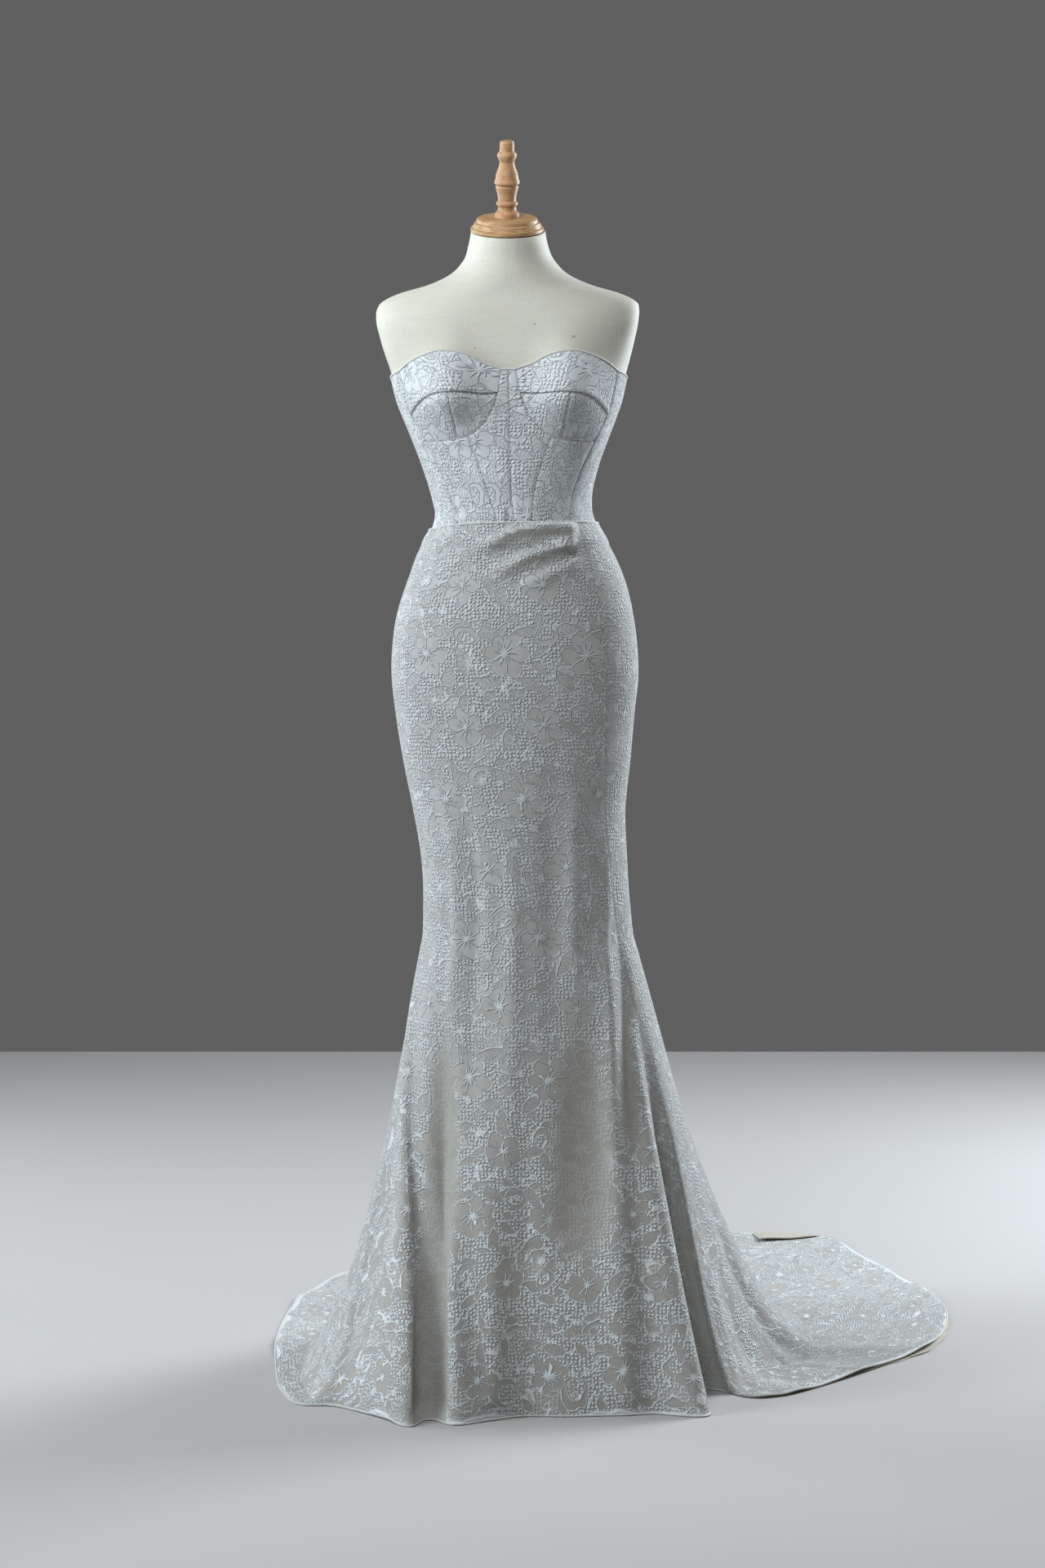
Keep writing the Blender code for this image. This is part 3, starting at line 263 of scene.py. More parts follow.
# The figure under the cloth, a row for each height. Depths are from the side plane to the front and back,
# and power is 2 for an ellipse and more for a squarer section.
FIGURE_COLUMNS = ("height", "centre", "half_width", "front", "back", "power")
FIGURE = (
    (0.550, 0.0268, 0.1720, 0.1130, 0.1400, 2.10),
    (0.600, 0.0241, 0.1480, 0.1010, 0.1200, 2.10),
    (0.655, 0.0213, 0.1424, 0.0965, 0.1110, 2.10),
    (0.7245, 0.0173, 0.1416, 0.0950, 0.1060, 2.10),
    (0.7935, 0.0104, 0.1460, 0.0960, 0.1060, 2.15),
    (0.862, 0.0070, 0.1562, 0.0970, 0.1100, 2.20),
    (0.931, 0.0045, 0.1646, 0.0990, 0.1160, 2.25),
    (0.977, 0.0045, 0.1694, 0.1000, 0.1190, 2.30),
    (1.0226, 0.0042, 0.1680, 0.1000, 0.1180, 2.30),
    (1.068, 0.0047, 0.1614, 0.0980, 0.1100, 2.30),
    (1.114, 0.0065, 0.1481, 0.0945, 0.0980, 2.25),
    (1.159, 0.0050, 0.1290, 0.0890, 0.0860, 2.20),
    (1.182, 0.0050, 0.1145, 0.0870, 0.0810, 2.20),
    (1.205, 0.0031, 0.1070, 0.0860, 0.0780, 2.20),
    (1.227, 0.0002, 0.1086, 0.0865, 0.0780, 2.20),
    (1.273, -0.0020, 0.1205, 0.0900, 0.0810, 2.25),
    (1.318, -0.0026, 0.1374, 0.0930, 0.0880, 2.35),
    (1.363, -0.0035, 0.1544, 0.0955, 0.0950, 2.50),
    (1.397, -0.0040, 0.1622, 0.0940, 0.0980, 2.75),
    (1.442, -0.0056, 0.1751, 0.0870, 0.0980, 3.10),
    (1.476, -0.0058, 0.1818, 0.0770, 0.0940, 3.30),
    (1.487, -0.0050, 0.1816, 0.0730, 0.0920, 3.10),
    (1.498, -0.0030, 0.1760, 0.0690, 0.0890, 2.70),
    (1.5095, -0.0025, 0.1530, 0.0660, 0.0860, 2.30),
    (1.521, -0.0025, 0.1140, 0.0645, 0.0820, 2.05),
    (1.532, -0.0030, 0.0885, 0.0635, 0.0760, 2.00),
    (1.554, -0.0037, 0.0639, 0.0615, 0.0640, 2.00),
    (1.577, -0.0048, 0.0548, 0.0625, 0.0480, 2.00),
    (1.596, -0.0048, 0.0505, 0.0625, 0.0390, 2.00),
)

# Seams of the front, as the distance from the centre-front seam and the height.
# Rows that two pieces share are used by both, so their edges match.
UNDERWIRE = (
    (0.0184, 1.3715), (0.0230, 1.3520), (0.0325, 1.3330), (0.0460, 1.3185), (0.0570, 1.3120),
    (0.0705, 1.3085), (0.0815, 1.3070), (0.0920, 1.3060), (0.1035, 1.3055), (0.1150, 1.3060),
)
CUP_BAND = (
    (0.0184, 1.3715), (0.0400, 1.3705), (0.0580, 1.3720), (0.0710, 1.3728), (0.0840, 1.3725),
    (0.1000, 1.3705), (0.1140, 1.3645), (0.1250, 1.3550), (0.1335, 1.3440),
)
NECKLINE = (
    (0.0150, 1.4015), (0.0330, 1.4085), (0.0500, 1.4180), (0.0660, 1.4235), (0.0820, 1.4262),
    (0.1000, 1.4252), (0.1180, 1.4195), (0.1340, 1.4120), (0.1480, 1.4010),
)
PRINCESS_AT_WAIST = 0.0215
SIDE_FRONT_AT_WAIST = 0.0790

# Rows at which a seam meets the underwire or the band: the princess seam, and both ends of the cup's own
UNDERWIRE_PRINCESS_ROW = 4
UNDERWIRE_CUP_ROW = 5
CUP_SEAM_ROW = 4

# Top edge of the side and the back, as angle and height
SIDE_SEAM = 90.0
BACK_SEAM = 138.0
SIDE_TOP = 1.3920
BACK_SEAM_TOP = 1.3720
BACK_TOP = 1.3550

# Skirt. Seams are angles round the knee, and the front's right seam wanders towards the centre above it.
LEFT_SEAM = -84.0
RIGHT_BACK_SEAM = 95.0
FRONT_SEAM_COLUMNS = ("height", "angle")
FRONT_SEAM = ((0.600, 58.0), (0.724, 54.0), (0.900, 48.0), (1.125, 43.5), (1.200, 47.0))
SKIRT_TOP_COLUMNS = ("angle", "height")
SKIRT_TOP = (
    (-180.0, 1.184), (-84.0, 1.181), (-45.0, 1.190), (0.0, 1.1945), (48.0, 1.1935), (95.0, 1.190),
    (180.0, 1.184),
)
FALL_ROWS = 13

# The hem on the floor, a row for each direction round the knee: where that line of cloth ends,
# the share of its way at which it reaches the floor, and how steeply it comes down (1 is straight down).
HEM_COLUMNS = ("angle", "x", "y", "touch", "steep")
HEM = (
    (-172.0, -0.080, 0.805, 0.50, 0.05),
    (-160.0, -0.215, 0.660, 0.52, 0.05),
    (-146.0, -0.303, 0.507, 0.56, 0.05),
    (-133.0, -0.333, 0.375, 0.60, 0.05),
    (-120.0, -0.344, 0.200, 0.74, 0.05),
    (-108.0, -0.337, 0.023, 0.82, 0.06),
    (-99.0, -0.317, -0.152, 0.86, 0.08),
    (-93.0, -0.288, -0.228, 0.90, 0.10),
    (-88.0, -0.240, -0.238, 0.94, 0.14),
    (-83.0, -0.185, -0.288, 0.98, 0.22),
    (-77.0, -0.142, -0.340, 1.00, 0.27),
    (-67.0, -0.112, -0.316, 1.00, 0.28),
    (-52.0, -0.077, -0.336, 1.00, 0.28),
    (-30.0, -0.029, -0.310, 1.00, 0.30),
    (-8.0, 0.020, -0.290, 1.00, 0.30),
    (14.0, 0.086, -0.291, 1.00, 0.30),
    (34.0, 0.185, -0.277, 1.00, 0.30),
    (50.0, 0.262, -0.260, 1.00, 0.30),
    (58.0, 0.200, -0.118, 1.00, 0.32),
    (66.0, 0.284, -0.150, 1.00, 0.22),
    (73.0, 0.328, -0.188, 0.88, 0.10),
    (80.0, 0.373, -0.179, 0.76, 0.06),
    (90.0, 0.447, -0.105, 0.70, 0.06),
    (100.0, 0.524, -0.010, 0.66, 0.06),
    (110.0, 0.607, 0.114, 0.62, 0.06),
    (119.0, 0.653, 0.310, 0.58, 0.05),
    (129.0, 0.626, 0.519, 0.54, 0.05),
    (139.0, 0.569, 0.726, 0.54, 0.05),
    (150.0, 0.502, 0.881, 0.53, 0.05),
    (160.0, 0.396, 0.915, 0.52, 0.05),
    (172.0, 0.230, 0.925, 0.50, 0.05),
)
KNEE_PULL = 0.50
FLOOR_APPROACH = 0.68
HEM_SETTLED = 0.6

# Soft ridges of the lower skirt and the train: direction, half width at the knee's angle, height,
# and the shares of the way down at which each starts and is highest
FOLDS = (
    (-50.0, 9.0, 0.010, 0.15, 0.85),
    (-22.0, 10.0, 0.004, 0.30, 0.90),
    (26.0, 9.0, 0.006, 0.35, 0.90),
    (84.0, 3.5, 0.012, 0.45, 0.80),
    (96.0, 3.5, 0.010, 0.50, 0.80),
    (108.0, 3.0, 0.012, 0.55, 0.80),
    (126.0, 3.5, 0.014, 0.50, 0.75),
    (146.0, 4.0, 0.016, 0.45, 0.75),
    (167.0, 4.5, 0.018, 0.40, 0.75),
    (-170.0, 5.0, 0.016, 0.40, 0.75),
    (-152.0, 4.0, 0.014, 0.45, 0.75),
    (-137.0, 3.5, 0.012, 0.45, 0.75),
    (-114.0, 3.5, 0.010, 0.35, 0.75),
)

# The draped tucks below the waist, each a ridge between two points of the front:
# x and height of its high end, x and height of its low end, sag, how far it stands out, and spread
TUCKS = (
    (0.080, 1.184, -0.085, 1.150, 0.004, 0.0045, 0.0090),
    (0.082, 1.160, -0.040, 1.119, 0.003, 0.0055, 0.0085),
    (0.086, 1.137, 0.000, 1.101, 0.002, 0.0040, 0.0080),
)

# The lining under the tip of the train, and the turned-over corner at the train's back edge
LINING_RANGE = (97.0, 126.0)
LINING_THICKNESS = 0.0012
LINING_UNDER = 0.020
LINING_PEEK = 0.009
LINING_ROOM = 0.0022
LINING_ROOM_LENGTH = 0.160
TURNBACK_RANGE = (149.5, 159.5)
TURNBACK_EDGE = 0.002
TURNBACK_WIDTH = 0.072
TURNBACK_GAP = 0.0008
TURNBACK_THICKNESS = 0.0016

# Height of the zip's slider, at the top of the centre back
ZIP_HEIGHT = 1.3440

# Numbers and curves

def smooth(keys, values, at):
    """A curve through rows: cubics whose slope at a row is the mean of both sides', the nearer row weighing
    more."""
    keys = np.asarray(keys, float)
    values = np.asarray(values, float)
    at = np.clip(np.asarray(at, float), keys[0], keys[-1])
    gap = np.diff(keys)
    slope = np.diff(values) / gap
    inner = (gap[1:] * slope[:-1] + gap[:-1] * slope[1:]) / (gap[1:] + gap[:-1])
    tangent = np.concatenate([slope[:1], inner, slope[-1:]])
    i = np.clip(np.searchsorted(keys, at, side="right") - 1, 0, len(gap) - 1)
    t = (at - keys[i]) / gap[i]
    return (
        values[i] * (1 + 2 * t) * (1 - t) ** 2
        + values[i + 1] * t * t * (3 - 2 * t)
        + gap[i] * tangent[i] * t * (1 - t) ** 2
        - gap[i] * tangent[i + 1] * t * t * (1 - t)
    )


def columns(names, rows):
    """The table's columns by name."""
    return dict(zip(names, np.array(rows, float).T))


def ease_between(low, high, at):
    """0 up to low, 1 from high, and a soft step between."""
    t = np.clip((np.asarray(at, float) - low) / (high - low), 0.0, 1.0)
    return t * t * (3 - 2 * t)


def wrapped(angle):
    """The same direction between -180 and 180 degrees."""
    return (np.asarray(angle, float) + 180.0) % 360.0 - 180.0


def signed_power(value, exponent):
    """The size of a value raised to a power, with the value's own sign."""
    return np.sign(value) * np.abs(value) ** exponent


FIGURE_TABLE = columns(FIGURE_COLUMNS, FIGURE)


def round_table(names, rows):
    """Columns of a table round the body, its rows repeated a turn before and after, sorted by angle."""
    once = np.array(rows, float)
    turns = []
    for turn in (-360.0, 0.0, 360.0):
        moved = once.copy()
        moved[:, 0] += turn
        turns.append(moved)
    return columns(names, np.concatenate(turns))


HEM_TABLE = round_table(HEM_COLUMNS, HEM)


# Surfaces

def figure(angle, height, bust=BUST_DEPTH):
    """A point of the figure: a superellipse for its height, its front pushed out by the two bust mounds."""
    turn = np.radians(angle)
    row = {name: smooth(FIGURE_TABLE["height"], FIGURE_TABLE[name], height) for name in FIGURE_COLUMNS[1:]}
    exponent = 2.0 / row["power"]
    across = row["half_width"] * signed_power(np.sin(turn), exponent)
    facing = np.cos(turn)
    depth = np.where(facing > 0, -row["front"], row["back"]) * np.abs(facing) ** exponent
    lift = np.where(height > BUST_APEX[1], BUST_SPREAD_ABOVE, BUST_SPREAD_BELOW)
    away = ((np.abs(across) - BUST_APEX[0]) / BUST_SPREAD) ** 2 + ((height - BUST_APEX[1]) / lift) ** 2
    depth = depth - bust * np.exp(-away) * ease_between(0.0, 0.5, facing)
    x, y, z = np.broadcast_arrays(row["centre"] + across, depth, height)
    return np.stack([x, y, z], axis=-1)


def skirt_above_knee(angle, height):
    """The skirt's inner side down to the knee: the figure, eased out, and further out where it laps the
    bodice."""
    lap = ease_between(SKIRT_OVERLAP_END, BODICE_END - LAP_START, height)
    out = EASE + (CLOTH + SEAM + LAP_ROOM) * lap
    return figure(angle, height) + out[..., None] * facing_out(figure, angle, height)


def folds_at(angle, way):
    """Height of the lower skirt's ridges at a direction and a share of the way down."""
    height = np.zeros(np.broadcast(angle, way).shape)
    for centre, spread, rise, start, full in FOLDS:
        across = wrapped(angle - centre) / spread
        height = height + rise * np.exp(-(across**2)) * ease_between(start, full, way)
    return height


def skirt_below_knee(angle, way):
    """The skirt's inner side below the knee. Each line of cloth leaves the knee along the figure, comes
    down in one cubic Bezier curve to where it meets the floor, and then lies straight out to the hem."""
    angle, way = np.broadcast_arrays(np.asarray(angle, float), np.asarray(way, float))
    hem = {name: smooth(HEM_TABLE["angle"], HEM_TABLE[name], wrapped(angle)) for name in HEM_COLUMNS[1:]}
    touch = np.clip(hem["touch"], 0.0, 1.0)
    knee = skirt_above_knee(angle, np.full(angle.shape, KNEE))
    above = skirt_above_knee(angle, np.full(angle.shape, KNEE + 0.01))
    leave = (knee - above) / 0.01
    end = np.stack([hem["x"], hem["y"], np.zeros(angle.shape)], axis=-1)
    run = end - knee
    run[..., 2] = 0.0
    landing = knee + run * touch[..., None]
    landing[..., 2] = 0.0
    approach = knee + run * (touch * FLOOR_APPROACH)[..., None]
    approach[..., 2] = KNEE * hem["steep"]
    pull = knee + leave * (KNEE * KNEE_PULL)
    distance = np.linalg.norm(run, axis=-1)
    falling = np.hypot(distance * touch, KNEE) * 1.04
    lying = distance * (1 - touch)
    share = falling / (falling + lying)
    t = np.clip(way / share, 0.0, 1.0)[..., None]
    flat = np.clip((way - share) / np.maximum(1 - share, 1e-9), 0.0, 1.0)[..., None]
    point = (
        knee * (1 - t) ** 3 + 3 * pull * t * (1 - t) ** 2 + 3 * approach * t * t * (1 - t) + landing * t**3
    ) + (end - landing) * flat
    lift = folds_at(angle, way)
    sideways = run / np.maximum(distance, 1e-9)[..., None]
    standing = ease_between(0.0, 0.12, point[..., 2])
    settled = 1 - HEM_SETTLED * ease_between(0.7, 1.0, way)
    point = point + sideways * (lift * standing * 0.8)[..., None]
    point[..., 2] += lift * (1 - standing) * settled * ease_between(0.0, 0.06, lying)
    near_end = ease_between(1.0, 0.0, (1 - way) * (falling + lying) / LINING_ROOM_LENGTH)
    over_lining = ease_between(LINING_RANGE[0] - 12, LINING_RANGE[0] - 4, angle) * ease_between(
        LINING_RANGE[1] + 12, LINING_RANGE[1] + 4, angle
    )
    point[..., 2] += LINING_ROOM * over_lining * near_end
    return point


def skirt(angle, row):
    """The skirt's inner side: row 0 to 1 is the way from the top edge to the knee, 1 to 2 from there to the
    hem."""
    angle, row = np.broadcast_arrays(np.asarray(angle, float), np.asarray(row, float))
    top = skirt_top(angle)
    height = top + (KNEE - top) * np.clip(row, 0.0, 1.0)
    upper = skirt_above_knee(angle, height)
    lower = skirt_below_knee(angle, np.clip(row - 1.0, 0.0, 1.0))
    return np.where((row <= 1.0)[..., None], upper, lower)


def skirt_top(angle):
    """Height of the skirt's top edge at each angle."""
    table = columns(SKIRT_TOP_COLUMNS, SKIRT_TOP)
    return smooth(table["angle"], table["height"], wrapped(angle))


def facing_out(surface, angle, down):
    """The surface's unit normal, away from the body, from steps along its two directions."""
    angle = np.asarray(angle, float)
    down = np.asarray(down, float)
    turn_step = 0.4
    down_step = 0.004
    if surface is figure:
        round_way = figure(angle + turn_step, down) - figure(angle - turn_step, down)
        up_way = figure(angle, down + down_step) - figure(angle, down - down_step)
    else:
        before = np.maximum(down - down_step, 0.0)
        after = np.minimum(down + down_step, 2.0)
        round_way = surface(angle + turn_step, down) - surface(angle - turn_step, down)
        up_way = surface(angle, before) - surface(angle, after)
    normal = np.cross(round_way, up_way)
    return normal / np.linalg.norm(normal, axis=-1, keepdims=True)


def tucks_at(points):
    """How far the draped tucks stand out: a soft ridge along each one's line, fading at both ends."""
    x, height = points[..., 0], points[..., 2]
    rise = np.zeros(x.shape)
    front = points[..., 1] < 0
    for x_high, high, x_low, low, sag, tall, spread in TUCKS:
        along = (x_high - x) / (x_high - x_low)
        inside = np.clip(along, 0.0, 1.0)
        line = high + (low - high) * inside - sag * 4 * inside * (1 - inside)
        fade = ease_between(-0.02, 0.05, along) * ease_between(1.10, 0.55, along)
        rise = rise + tall * np.exp(-(((height - line) / spread) ** 2)) * fade * front
    return rise


def hem_line(angle):
    """Hem points, and the level direction in which the cloth lies out to them."""
    end = skirt(angle, 2.0)
    before = skirt(angle, 1.97)
    way = end - before
    way[..., 2] = 0.0
    return end, way / np.linalg.norm(way, axis=-1, keepdims=True)


# Paths and grids of the scene's finer pieces

def curve(rows, low, high, count):
    """Points along the smooth curve through a table's rows, from row low to row high."""
    table = np.array(rows, float)
    at = np.linspace(low, high, count)
    order = np.arange(len(table))
    return np.stack([smooth(order, table[:, k], at) for k in range(table.shape[1])], axis=-1)


def on_front(points, side):
    """Angle and height of points of the front given by distance from the centre-front seam and height."""
    across, height = points[..., 0], points[..., 1]
    half = smooth(FIGURE_TABLE["height"], FIGURE_TABLE["half_width"], height)
    power = smooth(FIGURE_TABLE["height"], FIGURE_TABLE["power"], height)
    sine = np.clip(across / half, 0.0, 1.0) ** (power / 2.0)
    return np.stack([side * np.degrees(np.arcsin(sine)), height], axis=-1)


def between(first, second, count):
    """Rows of points from the first line to the second, straight across."""
    share = np.linspace(0.0, 1.0, count)[:, None, None]
    return first[None] * (1 - share) + second[None] * share


def front_curve(rows, low, high, side, count=BODICE_COLUMNS):
    """Angle and height of points along a table of the front's seams, from row low to row high."""
    return on_front(curve(rows, low, high, count), side)


def line(start, end, count):
    """Points on the straight way from start to end."""
    share = np.linspace(0.0, 1.0, count)[:, None]
    return np.array(start) * (1 - share) + np.array(end) * share


def along(points, axis):
    """Length travelled down each line of a grid of points, 0 at its start."""
    step = np.linalg.norm(np.diff(points, axis=axis), axis=-1)
    start = np.zeros_like(np.take(step, [0], axis=axis))
    return np.concatenate([start, np.cumsum(step, axis=axis)], axis=axis)


def evenly(path, outward, step):
    """A path and its outward directions taken again at even steps, after the length travelled at each."""
    travelled = along(path[None], 1)[0]
    even = np.arange(0.0, travelled[-1], step)
    both = [
        np.stack([np.interp(even, travelled, values[:, k]) for k in range(3)], axis=-1)
        for values in (path, outward)
    ]
    return even, *both


def edge_distance(points, sides=True, ends=False):
    """How far each point of a grid is from the grid's side edges, its first and last rows, or both."""
    nearest = np.full(points.shape[:2], 1.0)
    for axis, wanted in ((1, sides), (0, ends)):
        if wanted:
            travelled = along(points, axis)
            rest = np.take(travelled, [-1], axis=axis) - travelled
            nearest = np.minimum(nearest, np.minimum(travelled, rest))
    return nearest


def grid_quads(rows, columns_, first=0):
    """Faces of a grid of points, whose first point has the number given."""
    index = np.arange(rows * columns_).reshape(rows, columns_) + first
    quads = np.stack([index[:-1, :-1], index[1:, :-1], index[1:, 1:], index[:-1, 1:]], axis=-1)
    return quads.reshape(-1, 4)


def wall_quads(rows, columns_):
    """Faces of a closed wall: the outer grid's, and those of the inner grid turned over and of the four
    strips between them."""
    count = rows * columns_
    outer = grid_quads(rows, columns_)
    inner = grid_quads(rows, columns_, count)[:, ::-1]
    index = np.arange(count).reshape(rows, columns_)
    strips = []
    for edge in (index[0], index[-1, ::-1], index[::-1, 0], index[:, -1]):
        strips.append(np.stack([edge[:-1], edge[1:], edge[1:] + count, edge[:-1] + count], axis=-1))
    return outer, np.concatenate([inner, *strips])


def mesh_object(name, points, quads, materials, uv_maps=None, inner_from=None):
    """An object at the origin from arrays of points and faces, with UV maps given for each point. Faces
    from inner_from on take its second material."""
    mesh = bpy.data.meshes.new(name)
    mesh.from_pydata(points.reshape(-1, 3).tolist(), [], quads.tolist())
    for title, values in (uv_maps or {}).items():
        layer = mesh.uv_layers.new(name=title)
        layer.data.foreach_set("uv", values.reshape(-1, 2)[quads.ravel()].ravel().astype(np.float32))
    for item in materials:
        mesh.materials.append(item)
    if inner_from is not None:
        slots = np.zeros(len(quads), np.int32)
        slots[inner_from:] = 1
        mesh.polygons.foreach_set("material_index", slots)
    mesh.shade_smooth()
    mesh.set_sharp_from_angle(angle=SHARP)
    mesh.update()
    made = bpy.data.objects.new(name, mesh)
    bpy.context.scene.collection.objects.link(made)
    return made


def cloth(name, outer, inner, maps, materials, nodes):
    """A cloth piece: a closed wall between two grids, whose inner faces take the second material, put under
    the root; the CAD nodes it replaces are hidden."""
    rows, across = outer.shape[:2]
    face_out, face_in = wall_quads(rows, across)
    points = np.concatenate([outer.reshape(-1, 3), inner.reshape(-1, 3)])
    maps = {title: np.concatenate([values.reshape(-1, 2)] * 2) for title, values in maps.items()}
    made = mesh_object(name, points, np.concatenate([face_out, face_in]), materials, maps, len(face_out))
    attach(made, ROOT)
    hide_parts(*nodes)
    return made


def tube(name, path, outward, radius, material_, sides=8):
    """A round cord along a path: ring point = path + radius * (cos * outward + sin * across)."""
    way = np.gradient(path, axis=0)
    way = way / np.linalg.norm(way, axis=-1, keepdims=True)
    across = np.cross(way, outward)
    across = across / np.linalg.norm(across, axis=-1, keepdims=True)
    outward = np.cross(across, way)
    turn = np.linspace(0.0, 2 * np.pi, sides + 1)
    thick = np.broadcast_to(radius, (len(path),))[:, None, None]
    ring = np.cos(turn)[None, :, None] * outward[:, None] + np.sin(turn)[None, :, None] * across[:, None]
    points = path[:, None] + thick * ring
    uv = np.stack(np.broadcast_arrays(along(path[:, None], 0), turn[None] * 0.001), axis=-1)
    quads = grid_quads(len(path), sides + 1)
    made = mesh_object(name, points, quads, [material_], {"cloth": uv})
    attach(made, ROOT)
    return made


def turned_mesh(name, rows, material_, place, nodes):
    """A turned piece: its smooth profile of height and radius spun about the leaning axis of the neck."""
    table = np.array(rows, float)
    length = np.concatenate([[0.0], np.cumsum(np.hypot(*np.diff(table, axis=0).T))])
    at = np.unique(np.concatenate([length, np.linspace(0.0, length[-1], TURNED_ROWS)]))
    height = np.interp(at, length, table[:, 0])
    radius = np.interp(at, length, table[:, 1])
    soft = np.convolve(np.pad(radius, 2, "edge"), np.ones(5) / 5, "valid")
    radius = np.where(at < length[-1], soft, radius)
    height = np.concatenate([[height[0]], height, [height[-1]]])
    radius = np.concatenate([[1e-5], radius, [1e-5]])
    turn = np.linspace(0.0, 2 * np.pi, TURNED_COLUMNS + 1)
    cosine, sine = np.cos(NECK_LEAN), np.sin(NECK_LEAN)
    x = radius[:, None] * np.cos(turn)
    y = radius[:, None] * np.sin(turn)
    z = np.broadcast_to(height[:, None], x.shape)
    points = np.stack(
        [x + place[0], y * cosine - z * sine + place[1], y * sine + z * cosine + place[2]], axis=-1
    )
    uv = np.stack(np.broadcast_arrays(turn / (2 * np.pi), height[:, None]), axis=-1)
    quads = grid_quads(len(height), TURNED_COLUMNS + 1)[:, ::-1]
    made = mesh_object(name, points, quads, [material_], {"cloth": uv})
    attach(made, ROOT)
    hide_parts(*nodes)
    return made


# The figure and cloth surfaces with their creases

def soft_figure(angle, height, bust=BUST_DEPTH):
    """The figure with the crease down the middle of its front rounded off: near it, a point is the mean of
    those up to 8 degrees to its sides."""
    turn = wrapped(angle)
    reach = 8.0 * np.exp(-((turn / 10.0) ** 2))
    shares = (-1.0, -0.6, -0.2, 0.2, 0.6, 1.0)
    return sum(figure(turn + reach * share, height, bust) for share in shares) / len(shares)


def soft_facing_out(angle, height):
    """Unit normals of soft_figure, from points 0.4 degrees and 1.5 mm to both sides."""
    round_way = soft_figure(angle + 0.4, height) - soft_figure(angle - 0.4, height)
    up_way = soft_figure(angle, height + 0.0015) - soft_figure(angle, height - 0.0015)
    normal = np.cross(round_way, up_way)
    return normal / np.linalg.norm(normal, axis=-1, keepdims=True)


def creases_at(angle, row, highest=1.0):
    """Height of the listed creases up to the highest asked: each is a soft ridge or trough along a
    path of row and angle."""
    rise = np.zeros(angle.shape)
    for path, width, tall in CREASES:
        if tall > highest:
            continue
        table = np.array(path, float)
        centre = smooth(table[:, 0], table[:, 1], row)
        first, last = table[0, 0], table[-1, 0]
        fade = ease_between(first, first + 0.5 * (last - first), row)
        if last < 2.0:
            fade = fade * ease_between(last, last - 0.35 * (last - first), row)
        away = wrapped(angle - centre) / width
        rise = rise + tall * np.exp(-(away**2)) * fade
    return rise


def draped_at(points):
    """The folds draped under the waist: each rises softly to a crest line and falls away under it. Gives
    their height, and how much painted shadow each place gets below a crest, where the fold's cast shadow
    falls."""
    x, height = points[..., 0], points[..., 2]
    rise = np.zeros(x.shape)
    under = np.zeros(x.shape)
    for path, above, below, tall in TUCK_LINES:
        table = np.array(path, float)
        crest = smooth(table[:, 0], table[:, 1], np.clip(x, table[0, 0], table[-1, 0]))
        low, high = table[0, 0], table[-1, 0]
        fade = ease_between(low - 0.01, low + 0.55 * (high - low), x)
        fade = fade * ease_between(high + 0.012, high - 0.006, x)
        away = height - crest
        spread = np.where(away > 0, above, below)
        fade = fade * (points[..., 1] < 0)
        rise = rise + tall * np.exp(-((away / spread) ** 2)) * fade
        # Painted shadow: strongest a little below each crest, where the fold above shades the cloth
        under = under + np.exp(-((away / below + 0.75) ** 2) * 4.0) * fade * tall / TALLEST_TUCK
    return rise, under


